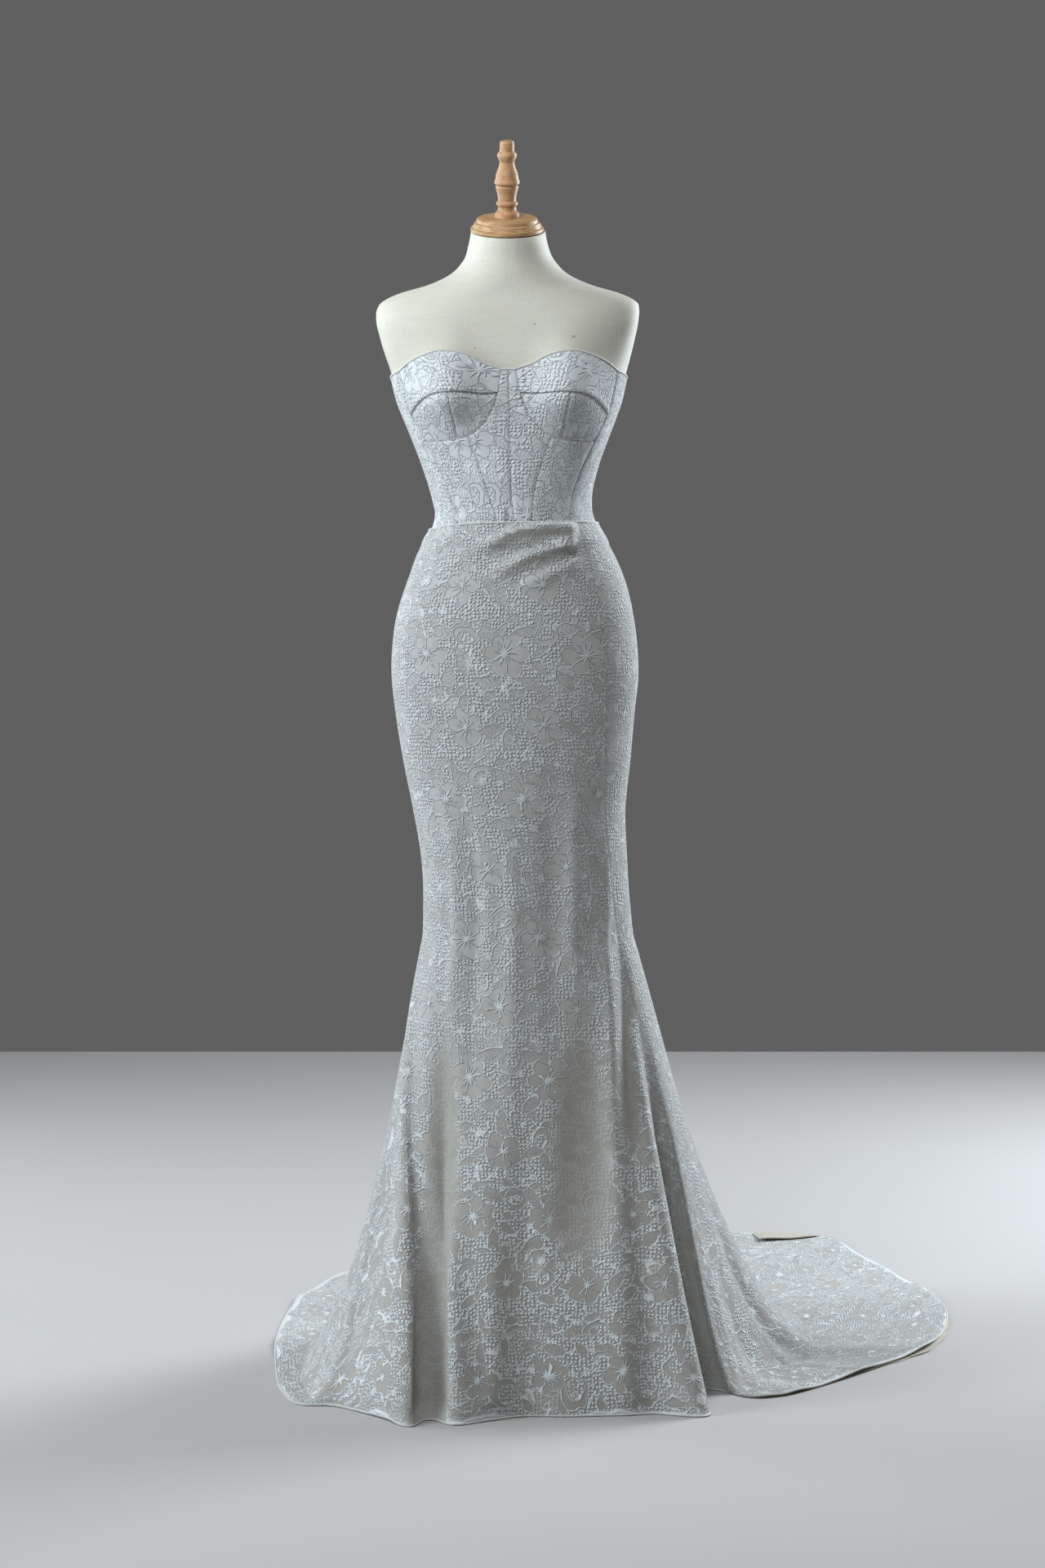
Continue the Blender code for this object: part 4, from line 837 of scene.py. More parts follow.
def panel(name, start, end, centre, materials):
    """One skirt panel between two angles at the knee: skirt(angle, row) pushed out along its normal by the
    tucks, the draped folds and the creases. Gives its hem, and the outward directions there."""
    trial = np.linspace(start, end, 400)
    arc = along(skirt(trial, np.full(trial.shape, 2.0))[None], 1)[0]
    spread = 0.4 * (trial - start) / (end - start) + 0.6 * arc / arc[-1]
    step = bpy.context.scene.dress_sizes.cloth_step * 1
    step = step * max(1.0, arc[-1] / WIDE_HEM)
    count = int(arc[-1] * 0.75 / step) + 12
    knee_angle = np.interp(np.linspace(0.0, 1.0, count), spread, trial)
    upper = np.linspace(0.0, 1.0, int(0.6 / step))
    lower = np.linspace(1.0, 2.0, int(0.85 / step))[1:]
    row = np.concatenate([upper, lower])[:, None]
    top = SKIRT_TOP[3][1]
    level = top + (KNEE - top) * np.clip(row, 0.0, 1.0)
    seam = columns(FRONT_SEAM_COLUMNS, FRONT_SEAM)
    shift = smooth(seam["height"], seam["angle"], level) - seam["angle"][0]
    near = ease_between(LEFT_SEAM, seam["angle"][0], wrapped(knee_angle))
    beyond = ease_between(RIGHT_BACK_SEAM, seam["angle"][0], wrapped(knee_angle))
    angle = knee_angle + shift * np.where(wrapped(knee_angle) <= seam["angle"][0], near, beyond)
    angle, row = np.broadcast_arrays(angle, row)
    point = skirt(angle, row)
    out = facing_out(skirt, angle, row)
    # Share of painted shade: the deepest troughs and the places below the draped folds' crests are painted
    # in the darker plain colour, standing in for the shade that falls there
    plain = -creases_at(angle, row, -TROUGH_DEPTH) / TROUGH_DEPTH
    draped, under = draped_at(point)
    plain = np.maximum(plain, under)
    rise = tucks_at(point) * TUCK_SHARE + draped + creases_at(angle, row)
    floor_room = ease_between(0.0, 0.03, point[..., 2]) * 0.7 + 0.3
    point = point + (rise * floor_room)[..., None] * out
    groove = SEAM_DEPTH * SKIRT_SEAM * np.exp(-((edge_distance(point) / SEAM_SOFT) ** 2))
    outer = point + (CLOTH - groove)[..., None] * out
    inner = point + INNER_GAP * out
    outer[..., 2] = np.maximum(outer[..., 2], OUTER_OVER_FLOOR)
    inner[..., 2] = np.maximum(inner[..., 2], INNER_OVER_FLOOR)
    middle = int(np.argmin(np.abs(wrapped(knee_angle - centre))))
    across = along(outer, 1)
    across = across - across[:, middle : middle + 1]
    down = np.broadcast_to(along(outer, 0).mean(axis=1, keepdims=True), across.shape)
    to_hem = along(outer, 0)[-1] - along(outer, 0)
    maps = {
        "cloth": np.stack([across, down], axis=-1),
        "edge": np.stack([to_hem, edge_distance(outer)], axis=-1),
        # Third map: the share of painted shade in the folds, and the share of the painted shadow along the
        # seams
        "fold": np.stack([np.clip(plain, 0.0, 1.0), np.full(across.shape, SKIRT_SEAM)], axis=-1),
    }
    cloth(name + "_cloth", outer, inner, maps, materials, [name])
    return outer[-1], out[-1]


def bodice_cloth(name, grid, side, materials):
    """A bodice piece over the figure from a grid of angle and height, its edges drawn in where it is
    sewn."""
    if side < 0:
        grid = grid[:, ::-1]
    angle, height = grid[..., 0], grid[..., 1]
    skin = soft_figure(angle, height)
    out = soft_facing_out(angle, height)
    seam_distance = edge_distance(skin, ends=True)
    rise = -SEAM_DEPTH * np.exp(-((seam_distance / SEAM_SOFT) ** 2))
    kind = name[: name.rindex("_")]
    top_rise, foot_rise = BODICE_LIFT.get(kind, (0.0, 0.0))
    down = along(skin, 0)
    rise = rise + top_rise * np.exp(-((down / LIFT_SOFT) ** 2))
    rise = rise + foot_rise * np.exp(-(((down[-1] - down) / LIFT_SOFT) ** 2))
    for at_x, at_z, wide, tall, depth in PUCKERS:
        away = ((skin[..., 0] - at_x) / wide) ** 2 + ((height - at_z) / tall) ** 2
        rise = rise + depth * np.exp(-away) * (skin[..., 1] < 0)
    thick = np.maximum(CLOTH + rise, LEAST_WALL)
    outer = skin + (EASE + thick)[..., None] * out
    inner = skin + (EASE + INNER_GAP) * out
    shift = BODICE_SHIFT.get(kind, 0.0)
    maps = {
        "cloth": np.stack([angle * BODICE_ARC + shift, 1.2 - height], axis=-1),
        "edge": np.stack([np.full(angle.shape, 1.0), seam_distance], axis=-1),
        "fold": np.stack([np.zeros(angle.shape), np.ones(angle.shape)], axis=-1),
    }
    cloth(name + "_cloth", outer, inner, maps, materials, [name])


# Shader arithmetic

def arithmetic(operation, turned=False):
    """A method of Value that makes one Math node, with the other value first where it is turned."""
    def method(self, *other):
        inputs = (*other, self) if turned else (self, *other)
        return self.node("ShaderNodeMath", *inputs, operation=operation)

    return method


class Value:
    """A value in a node tree that adds, multiplies and compares by making Math nodes."""

    __add__ = __radd__ = arithmetic("ADD")
    __sub__ = arithmetic("SUBTRACT")
    __rsub__ = arithmetic("SUBTRACT", turned=True)
    __mul__ = __rmul__ = arithmetic("MULTIPLY")
    __truediv__ = arithmetic("DIVIDE")
    __pow__ = arithmetic("POWER")
    __abs__ = arithmetic("ABSOLUTE")
    __lt__ = arithmetic("LESS_THAN")
    __gt__ = arithmetic("GREATER_THAN")
    largest = arithmetic("MAXIMUM")

    def __init__(self, tree, socket):
        self.tree = tree
        self.socket = socket

    def node(self, kind, *inputs, out=0, **settings):
        """Any node, with its inputs in order as values, numbers or None to leave one as it is."""
        made = self.tree.nodes.new(kind)
        for key, setting in settings.items():
            setattr(made, key, setting)
        for place, item in enumerate(inputs):
            if isinstance(item, Value):
                self.tree.links.new(item.socket, made.inputs[place])
            elif item is not None:
                made.inputs[place].default_value = item
        return Value(self.tree, made.outputs[out])

    def math(self, operation, *others):
        """One Math node of the value and any others."""
        return self.node("ShaderNodeMath", self, *others, operation=operation)

    def held(self):
        """The value kept between 0 and 1."""
        return self.math("MAXIMUM", 0.0).math("MINIMUM", 1.0)

    def cord(self, width):
        """1 on the line where the value is 0, falling round to 0 at width on both sides."""
        ratio = self / width
        return (1.0 - ratio * ratio).math("MAXIMUM", 0.0)

    def step(self, low, high):
        """A soft step from 0 at low to 1 at high."""
        return self.node("ShaderNodeMapRange", self, low, high, 0.0, 1.0, interpolation_type="SMOOTHSTEP")


def combined(x, y, z=0.0):
    """A vector from three values or numbers."""
    return x.node("ShaderNodeCombineXYZ", x, y, z)


def noise(vector, scale, detail, out=0):
    """Soft noise about 0.5, or its colour where out is 1."""
    made = vector.node("ShaderNodeTexNoise", vector, out=out)
    made.socket.node.inputs["Scale"].default_value = scale
    made.socket.node.inputs["Detail"].default_value = detail
    return made


def voronoi(vector, scale, randomness):
    """Distance to the nearest of a lattice of points, moved at random."""
    made = vector.node("ShaderNodeTexVoronoi", vector, voronoi_dimensions="2D")
    made.socket.node.inputs["Scale"].default_value = scale
    made.socket.node.inputs["Randomness"].default_value = randomness
    return made


def mixed(factor, first, second):
    """A colour between two: each is a colour of three numbers or a value."""
    node = factor.tree.nodes.new("ShaderNodeMix")
    node.data_type = "RGBA"
    factor.tree.links.new(factor.socket, node.inputs[0])
    for place, item in ((6, first), (7, second)):
        if isinstance(item, Value):
            factor.tree.links.new(item.socket, node.inputs[place])
        else:
            node.inputs[place].default_value = (*item, 1.0)
    return Value(factor.tree, node.outputs[2])


def new_material(name, roughness, metallic=0.0, sheen=0.0, coat=0.0):
    """A material with its node tree and its shader."""
    made = bpy.data.materials.new(name)
    made.use_nodes = True
    shader = made.node_tree.nodes["Principled BSDF"]
    shader.inputs["Roughness"].default_value = roughness
    shader.inputs["Metallic"].default_value = metallic
    shader.inputs["Sheen Weight"].default_value = sheen
    shader.inputs["Coat Weight"].default_value = coat
    return made, made.node_tree, shader


def coordinates(tree, name=None):
    """The object's own coordinates, or one of its UV maps by name, as a vector and its x, y and z."""
    if name is None:
        source = tree.nodes.new("ShaderNodeTexCoord")
        vector = Value(tree, source.outputs["Object"])
    else:
        source = tree.nodes.new("ShaderNodeUVMap")
        source.uv_map = name
        vector = Value(tree, source.outputs[0])
    parts = tree.nodes.new("ShaderNodeSeparateXYZ")
    tree.links.new(vector.socket, parts.inputs[0])
    return (vector, *[Value(tree, parts.outputs[k]) for k in range(3)])


def finish_shader(tree, shader, colour, height=None, distance=0.001, strength=1.0, roughness=None):
    """Links the shader's colour, its relief as bump of that distance and strength, and its roughness."""
    tree.links.new(colour.socket, shader.inputs["Base Color"])
    if height is not None:
        made = height.node("ShaderNodeBump", strength, distance)
        tree.links.new(height.socket, made.socket.node.inputs["Height"])
        tree.links.new(made.socket, shader.inputs["Normal"])
    if roughness is not None:
        tree.links.new(roughness.socket, shader.inputs["Roughness"])


# Lace motifs. Each returns the height of its cords and the bare area that it covers.

def cell(u, v, pitch_u, pitch_v, at_u, at_v):
    """Place within the nearest cell of a lattice, and a random number for that cell."""
    across = (u - at_u) / pitch_u + 0.5
    down = (v - at_v) / pitch_v + 0.5
    column, row = across.math("FLOOR"), down.math("FLOOR")
    place = combined(column, row, at_u * 100.0)
    chance = place.node("ShaderNodeTexWhiteNoise", place)
    return (across - column - 0.5) * pitch_u, (down - row - 0.5) * pitch_v, chance


def polar(x, y, chance):
    """Distance from the middle and direction in radians, turned by chance."""
    return (x * x + y * y).math("SQRT"), y.math("ARCTAN2", x) + chance * 6.28


def flower(x, y, chance, radius, petals, width):
    """Open flower: bare petals out to radius * (0.58 + 0.42 |cos(petals * angle / 2)| ** 0.8), a thin cord
    round them, and stamens that spread from a small heart."""
    size, turn = polar(x, y, chance)
    wave = abs((turn * (petals / 2.0)).math("COSINE"))
    rim = radius * (0.58 + 0.42 * wave**0.8)
    outline = (size - rim).cord(width)
    heart = 1.0 - (size / (0.09 * radius)).held()
    spokes = abs((turn * petals).math("SINE")) * size * (1.0 / petals)
    reach = 0.52 + 0.16 * (turn * 5.0).math("SINE")
    spokes = spokes.cord(width * 0.9) * (size < radius * reach)
    return (outline * 0.8).largest(heart).largest(spokes), size < rim


def leaf(x, y, chance, long, wide, width):
    """Leaf: outline |y| = wide * (1 - (x / long) ** 2), bent and turned by chance, bare inside but for
    slanting veins."""
    turn = chance * 6.28
    cosine, sine = turn.math("COSINE"), turn.math("SINE")
    p = x * cosine + y * sine
    q = y * cosine - x * sine + p * p * 9.0
    ratio = p / long
    within = abs(ratio) < 1.0
    half = wide * (1.0 - ratio * ratio)
    inside = (abs(q) < half) * within
    outline = (abs(q) - half).cord(width) * within
    veins = ((p * 1100.0 + abs(q) * 900.0).math("SINE") - 0.75).held() * 2.5 * inside
    return (outline * 0.9).largest(veins), inside


def scroll(x, y, chance, radius, width):
    """Scroll: a bare crescent between two offset rings, a cord on its outer rim and large dots within."""
    size, turn = polar(x, y, chance)
    swell = 0.5 + 0.5 * turn.math("COSINE")
    outer = radius * (0.72 + 0.28 * swell)
    inner = radius * (0.62 - 0.08 * swell)
    crescent = (size < outer) * (size > inner) * (swell > 0.12)
    rim = (size - outer).cord(width) * (swell > 0.12)
    lip = (size - inner).cord(width * 0.9)
    return rim.largest(lip), crescent


def lace_material(name, colours, hem=False):
    """Corded lace: staggered rows of open flowers with scrolls and leaves between them, bare inside and
    thinly corded round, on a ground filled with raised dots. With hem, a border row takes their place close
    to the hem."""
    sizes = bpy.context.scene.dress_sizes
    made, tree, shader = new_material(name, 0.72, sheen=0.2)
    _, u0, v0, _ = coordinates(tree, "cloth")
    _, to_hem, to_seam, _ = coordinates(tree, "edge")
    warp = noise(combined(u0, v0), 16.0, 1.0, out=1)
    parts = tree.nodes.new("ShaderNodeSeparateXYZ")
    tree.links.new(warp.socket, parts.inputs[0])
    ripple = noise(combined(u0, v0, 2.0), 75.0, 1.0) - 0.5
    u = u0 + (Value(tree, parts.outputs[0]) - 0.5) * 0.026 + ripple * 0.010
    v = v0 + (Value(tree, parts.outputs[1]) - 0.5) * 0.026 - ripple * 0.008
    width = sizes.cord_width
    pu, pv, radius = sizes.flower_across, sizes.flower_down * 2, sizes.flower_radius
    layers = [
        flower(*cell(u, v, pu, pv, 0.020, 0.190), radius, 6.0, width),
        flower(*cell(u, v, pu, pv, 0.062, 0.093), radius * 0.9, 5.0, width),
        scroll(*cell(u, v, pu, pv, 0.077, 0.165), 0.019, width),
        scroll(*cell(u, v, pu, pv, 0.006, 0.080), 0.017, width),
        leaf(*cell(u, v, pu / 2, pv / 3, 0.048, 0.030), 0.019, 0.0085, width),
        leaf(*cell(u, v, pu / 2, pv / 4, 0.012, 0.012), 0.015, 0.0070, width),
        leaf(*cell(u, v, pu / 3, pv / 4, 0.030, 0.045), 0.012, 0.0055, width * 0.9),
    ]
    if hem:
        low = to_hem + (v - v0)
        near = 1.0 - low.step(0.100, 0.118)
        border = [
            flower(*cell(u, low, 0.102, 0.5, 0.010, 0.056), 0.027, 6.0, width),
            scroll(*cell(u, low, 0.102, 0.5, 0.046, 0.034), 0.022, width),
            scroll(*cell(u, low, 0.102, 0.5, 0.085, 0.070), 0.019, width),
            leaf(*cell(u, low, 0.034, 0.5, 0.020, 0.092), 0.016, 0.0075, width),
            leaf(*cell(u, low, 0.051, 0.5, 0.028, 0.018), 0.014, 0.0060, width),
        ]
        cords, bare = stacked(layers)
        border_cords, border_bare = stacked(border)
        cords = cords * (1.0 - near) + border_cords * near
        bare = bare * (1.0 - near) + border_bare * near
        cords = cords.largest((low - 0.0035).cord(0.0030))
    else:
        cords, bare = stacked(layers)
    # First channel: the share of painted shade in the skirt's deep folds and under its draped crests;
    # second: the share of the painted seam shadow
    trough, seam_share = coordinates(tree, "fold")[1:3]
    low_share = 1.0 - to_hem.step(0.20, 0.75)
    jitter = combined(u0 + (v - v0) * 0.35, v0 + (u - u0) * 0.35)
    dots = voronoi(jitter, 192.0, 0.45).cord(0.47)
    thin = noise(combined(u0, v0, 5.0), 11.0, 1.0).step(0.34, 0.42)
    dots = dots * (1.0 - bare) * (0.25 + 0.75 * thin)
    winding = noise(combined(u, v), 30.0, 1.0)
    lines = ((winding * 7.0).math("FRACT") - 0.5).cord(0.15) * (1.0 - bare) * 0.6
    height = cords.largest(dots).largest(lines)
    if hem:
        height = height.largest((1.0 - low.step(0.003, 0.010)) * 0.6)
    # Painted shade in the folds: towards 0 the cords lose their whiteness and relief and the ground turns
    # to the darker plain colour
    faint = 1.0 - trough.step(0.25, 0.8) * 0.85
    weave = (u0 * 5200.0).math("SINE") * (v0 * 5200.0).math("SINE")
    cloudy = noise(combined(u0, v0), 30.0, 3.0)
    ground_colour = mixed(cloudy.step(0.3, 0.7), colours.ground_shade, colours.ground)
    if not hem:
        ground_colour = mixed(cloudy * 0.4 + BODICE_WHITER, ground_colour, colours.lace)
    ground_colour = mixed(low_share * faint * 0.85, ground_colour, colours.sheer)
    # Painted shade: the ground in the deep folds mixed to the darker plain colour
    ground_colour = mixed((1.0 - faint) * 1.1, ground_colour, colours.plain)
    whiter = (height * 1.4).held() * (0.55 + 0.4 * low_share) * faint
    colour = mixed(whiter + (1.0 - bare) * faint * 0.05, ground_colour, colours.lace)
    seam = (1.0 - (to_seam / SEAM_DARK).held()) * seam_share * (0.45 + cloudy)
    colour = mixed(seam * 0.45, colour, colours.seam)
    relief = height * faint + weave * 0.03 + cloudy * 0.3
    finish_shader(tree, shader, colour, relief, sizes.relief, 1.0)
    return made


def stacked(layers):
    """Cords and bare areas of motifs, each drawn only where those before it leave the ground free."""
    cords, bare = layers[0]
    for more, area in layers[1:]:
        cords = cords.largest(more * (1.0 - bare))
        bare = bare.largest(area)
    return cords, bare


def plain_cloth(name, colour, pitch, depth, roughness):
    """Plain woven cloth: two crossing sets of threads, a slow change of shade, and a soft sheen."""
    made, tree, shader = new_material(name, roughness, sheen=0.2)
    _, across, down, _ = coordinates(tree, "cloth")
    threads = (across * (6.283 / pitch)).math("SINE") * 0.5 + (down * (6.283 / pitch)).math("SINE") * 0.5
    slub = noise(combined(across, down * 0.15), 420.0, 2.0)
    slub = slub + noise(combined(across * 0.15, down), 420.0, 2.0)
    cloudy = noise(combined(across, down), 6.0, 3.0)
    dark = tuple(channel * 0.86 for channel in colour)
    shade = (cloudy.step(0.3, 0.7) * 0.7 + slub * 0.3).held()
    finish_shader(tree, shader, mixed(shade, dark, colour), threads * 0.4 + slub * 0.8, depth, 0.7)
    return made


def form_cover_material(colours):
    """The form's cover: fine knit, threads across and down, and three small dark marks on the chest."""
    made, tree, shader = new_material("form_knit", 0.62, sheen=0.15)
    vector, x, y, z = coordinates(tree)
    threads = (z * 2600.0).math("SINE") * 0.5 + (x * 2600.0).math("SINE") * 0.5
    slub = noise(combined(x * 0.3, y * 0.3, z * 4.0), 160.0, 2.0) * 0.5
    slub = slub + noise(combined(x * 4.0, y * 4.0, z * 0.3), 160.0, 2.0) * 0.5
    cloudy = noise(vector, 5.0, 2.0)
    shade = (slub.step(0.42, 0.58) * 0.35 + cloudy.step(0.3, 0.7) * 0.65).held()
    colour = mixed(shade, colours.cover_shade, colours.cover)
    for at_x, at_z, size, strength in COVER_MARKS:
        away = ((x - at_x) * (x - at_x) + (z - at_z) * (z - at_z) * 3.0).math("SQRT") / size
        colour = mixed((1.0 - away).held() * strength * (y < 0.0), colour, (0.10, 0.09, 0.08))
    finish_shader(tree, shader, colour, threads * 0.3 + slub, 0.0004, 0.6)
    return made


def wood_material(name, light, dark, ring_scale, along_axis):
    """Turned wood: stretched noise makes the grain, a finer one the pores, under a thin satin coat."""
    made, tree, shader = new_material(name, 0.5, coat=0.1)
    _, x, y, z = coordinates(tree)
    if along_axis:
        stretched = combined(x * 9.0, y * 9.0, z * 0.9)
        pores = combined(x * 30.0, y * 30.0, z * 2.0)
    else:
        stretched = combined(x * 0.9, y * 6.0, z * 12.0)
        pores = combined(x * 2.0, y * 26.0, z * 30.0)
    rings = (noise(stretched, ring_scale, 3.0) * 6.0).math("FRACT")
    grain = rings.step(0.15, 0.9)
    fine = noise(pores, ring_scale * 3.0, 3.0)
    shade = (grain * 0.6 + fine.step(0.35, 0.6) * 0.4).held()
    rough = 0.46 + fine * 0.18
    finish_shader(tree, shader, mixed(shade, dark, light), fine, 0.0002, 0.5, rough)
    return made


def metal_material(name, colour, roughness, metallic, speckle):
    """Metal or paint with fine brushed or pitted roughness."""
    made, tree, shader = new_material(name, roughness, metallic)
    _, x, y, z = coordinates(tree)
    lines = noise(combined(x * 40.0, y * 40.0, z), 60.0, 3.0)
    dark = tuple(channel * 0.8 for channel in colour)
    rough = roughness * 0.8 + lines * roughness * 0.4
    finish_shader(tree, shader, mixed(lines, dark, colour), lines, speckle, 0.4, rough)
    return made


def floor_material(colour):
    """Matt floor with a faint slow change of shade."""
    made, tree, shader = new_material("studio_floor", 0.85)
    vector = coordinates(tree)[0]
    dark = tuple(channel * 0.97 for channel in colour)
    finish_shader(tree, shader, mixed(noise(vector, 3.0, 2.0), dark, colour))
    return made


def palette():
    """Every material, made once and found again by name."""
    if not MATERIALS:
        colours = bpy.context.scene.dress_colours
        MATERIALS["lace"] = lace_material("lace_all_over", colours)
        MATERIALS["hem_lace"] = lace_material("lace_with_border", colours, True)
        MATERIALS["lining"] = plain_cloth("lining_satin", tuple(colours.lining), 0.0009, 0.0002, 0.45)
        MATERIALS["edging"] = plain_cloth("edging_cord", tuple(colours.edging), 0.0016, 0.0006, 0.7)
        MATERIALS["cover"] = form_cover_material(colours)
        for wood, scale, along_axis in (("oak", 7.0, False), ("beech", 9.0, True)):
            light, dark = tuple(getattr(colours, wood)), tuple(getattr(colours, wood + "_grain"))
            MATERIALS[wood] = wood_material(wood, light, dark, scale, along_axis)
        MATERIALS["steel"] = metal_material("brushed_steel", (0.55, 0.56, 0.57), 0.32, 1.0, 0.0001)
        MATERIALS["paint"] = metal_material("base_enamel", (0.035, 0.035, 0.04), 0.45, 0.0, 0.0002)
    return MATERIALS


# Settings

def size_setting(title, words, default):
    """A length that the panel shows."""
    return bpy.props.FloatProperty(name=title, description=words, default=default, unit="LENGTH")


def colour_setting(title, words, default):
    """A linear colour that the panel shows."""
    return bpy.props.FloatVectorProperty(
        name=title, description=words, subtype="COLOR", size=3, default=default, min=0.0, max=1.0
    )


class DressSizes(bpy.types.PropertyGroup):
    """Sizes of the cloth's mesh, the lace and the hem's cord."""

    cloth_step: size_setting("Cloth step", "Least spacing of the points of the skirt's cloth", 0.00497)
    flower_across: size_setting("Flowers across", "Distance between flowers in a row", 0.111)
    flower_down: size_setting("Flowers down", "Distance between rows of flowers", 0.098)
    flower_radius: size_setting("Flower radius", "Reach of a flower's petals", 0.030)
    cord_width: size_setting("Cord width", "Half the width of the lace's cords", 0.0013)
    relief: size_setting("Relief", "How far the lace's cords stand out", 0.0026)
    hem_cord: size_setting("Hem cord", "Radius of the corded edge of the hem", 0.0010)


class DressColours(bpy.types.PropertyGroup):
    """Colours, linear."""

    lace: colour_setting("Lace", "The lace's cords", (0.70, 0.755, 0.765))
    ground: colour_setting("Ground", "The ground between the cords", (0.47, 0.485, 0.475))
    ground_shade: colour_setting("Ground shade", "The ground where it is darker", (0.41, 0.41, 0.385))
    lining: colour_setting("Lining", "Cream lining", (0.52, 0.485, 0.405))
    sheer: colour_setting("Sheer", "The sheerer ground towards the hem", (0.33, 0.315, 0.28))
    # Painted shade: the darker colour painted into the skirt's deep folds and below the draped crests, in
    # place of the lit lace
    plain: colour_setting("Plain", "The plain cloth in the deep folds", (0.335, 0.325, 0.29))
    seam: colour_setting("Seam", "The shadow along a seam", (0.16, 0.15, 0.13))
    edging: colour_setting("Edging", "Neckline edging, waist and hem cord", (0.64, 0.655, 0.62))
    cover: colour_setting("Cover", "The form's cover", (0.60, 0.60, 0.51))
    cover_shade: colour_setting("Cover shade", "The cover where it is darker", (0.50, 0.49, 0.41))
    oak: colour_setting("Oak", "The neck cap", (0.53, 0.33, 0.16))
    oak_grain: colour_setting("Oak grain", "The neck cap's darker grain", (0.33, 0.18, 0.07))
    beech: colour_setting("Beech", "The finial", (0.52, 0.30, 0.15))
    beech_grain: colour_setting("Beech grain", "The finial's darker grain", (0.38, 0.20, 0.09))
    floor: colour_setting("Floor", "The plain studio floor", (0.44, 0.43, 0.42))


class PieceOperator:
    """Common to the operators below: each builds its pieces with the palette's materials."""

    bl_options = {"REGISTER"}

    def execute(self, context):
        self.build(palette())
        return {"FINISHED"}


class DRESS_OT_skirt(PieceOperator, bpy.types.Operator):
    """The five skirt panels and the corded edge along the whole hem"""

    bl_idname = "dress.skirt"
    bl_label = "Skirt and train"

    def build(self, m):
        hem, outward = [], []
        for name, start, end, centre in PANELS:
            edge, out = panel(name, start, end, centre, [m["hem_lace"], m["lining"]])
            hem.append(edge)
            outward.append(out)
        path, out = np.concatenate(hem), np.concatenate(outward)
        keep = np.concatenate([[True], np.linalg.norm(np.diff(path, axis=0), axis=-1) > HEM_LEAST_STEP])
        even, path, out = evenly(path[keep], out[keep], HEM_STEP)
        swell = 1 + 0.35 * np.abs(np.sin(even * np.pi / PICOT_PITCH))
        radius = bpy.context.scene.dress_sizes.hem_cord * swell
        path[:, 2] = np.maximum(path[:, 2], radius + HEM_OVER_FLOOR)
        tube("hem_cord", path, out, radius, m["edging"], 6)

        angle = np.linspace(-180.0, 180.0, 500)
        row = np.zeros(angle.shape)
        out = facing_out(skirt, angle, row)
        edge = skirt(angle, row)
        rise = CLOTH + tucks_at(edge) * TUCK_SHARE + draped_at(edge)[0] - WAIST_CORD_SUNK
        edge = edge + rise[:, None] * out
        tube("waist_cord", edge, out, WAIST_CORD, m["edging"])


class DRESS_OT_bodice(PieceOperator, bpy.types.Operator):
    """The bodice's cups, fronts, sides and backs"""

    bl_idname = "dress.bodice"
    bl_label = "Bodice"

    def build(self, m):
        cloths = [m["lace"], m["lining"]]
        waist = line((PRINCESS_AT_WAIST, BODICE_END), (SIDE_FRONT_AT_WAIST, BODICE_END), BODICE_COLUMNS)
        for side, word in ((1, "_right"), (-1, "_left")):
            foot = on_front(waist, side)
            neck = front_curve(NECKLINE, 0, 8, side)
            band = front_curve(CUP_BAND, 0, 8, side)
            bodice_cloth("cup_upper" + word, between(neck, band, 24), side, cloths)
            top = front_curve(CUP_BAND, 0, CUP_SEAM_ROW, side)
            wire = front_curve(UNDERWIRE, 1, UNDERWIRE_CUP_ROW, side)
            bodice_cloth("cup_inner" + word, between(top, wire, 40), side, cloths)
            top = front_curve(CUP_BAND, CUP_SEAM_ROW, 8, side)
            wire = front_curve(UNDERWIRE, UNDERWIRE_CUP_ROW, 9, side)
            bodice_cloth("cup_outer" + word, between(top, wire, 40), side, cloths)
            under = front_curve(UNDERWIRE, UNDERWIRE_PRINCESS_ROW, 9, side)
            bodice_cloth("bodice_front_side" + word, between(under, foot, 60), side, cloths)

            wire = front_curve(UNDERWIRE, 0, UNDERWIRE_PRINCESS_ROW, side, 30)
            edge = [line(neck[0], band[0], 14), wire[1:], line(wire[-1], foot[0], 60)[1:]]
            edge = np.concatenate(edge)
            middle = np.stack([np.zeros(len(edge)), edge[:, 1]], axis=-1)
            self.strip("bodice_front_centre" + word, middle, edge, 16, side, cloths)

            front = [line(neck[-1], band[-1], 20), line(band[-1], under[-1], 14)[1:]]
            front = np.concatenate([*front, line(under[-1], foot[-1], 40)[1:]])
            drop = np.linspace(0.0, 1.0, len(front))
            lines = [front]
            for angle, top in ((SIDE_SEAM, SIDE_TOP), (BACK_SEAM, BACK_SEAM_TOP), (180.0, BACK_TOP)):
                height = top + (BODICE_END - top) * drop
                lines.append(np.stack([np.full(len(drop), side * angle), height], axis=-1))
            self.strip("bodice_side" + word, lines[0], lines[1], 24, side, cloths)
            self.strip("bodice_back_side" + word, lines[1], lines[2], 32, side, cloths)
            self.strip("bodice_back_centre" + word, lines[2], lines[3], 28, side, cloths)

    def strip(self, name, near, far, count, side, cloths):
        """A bodice piece between two seams that run down."""
        bodice_cloth(name, between(near, far, count).transpose(1, 0, 2), side, cloths)


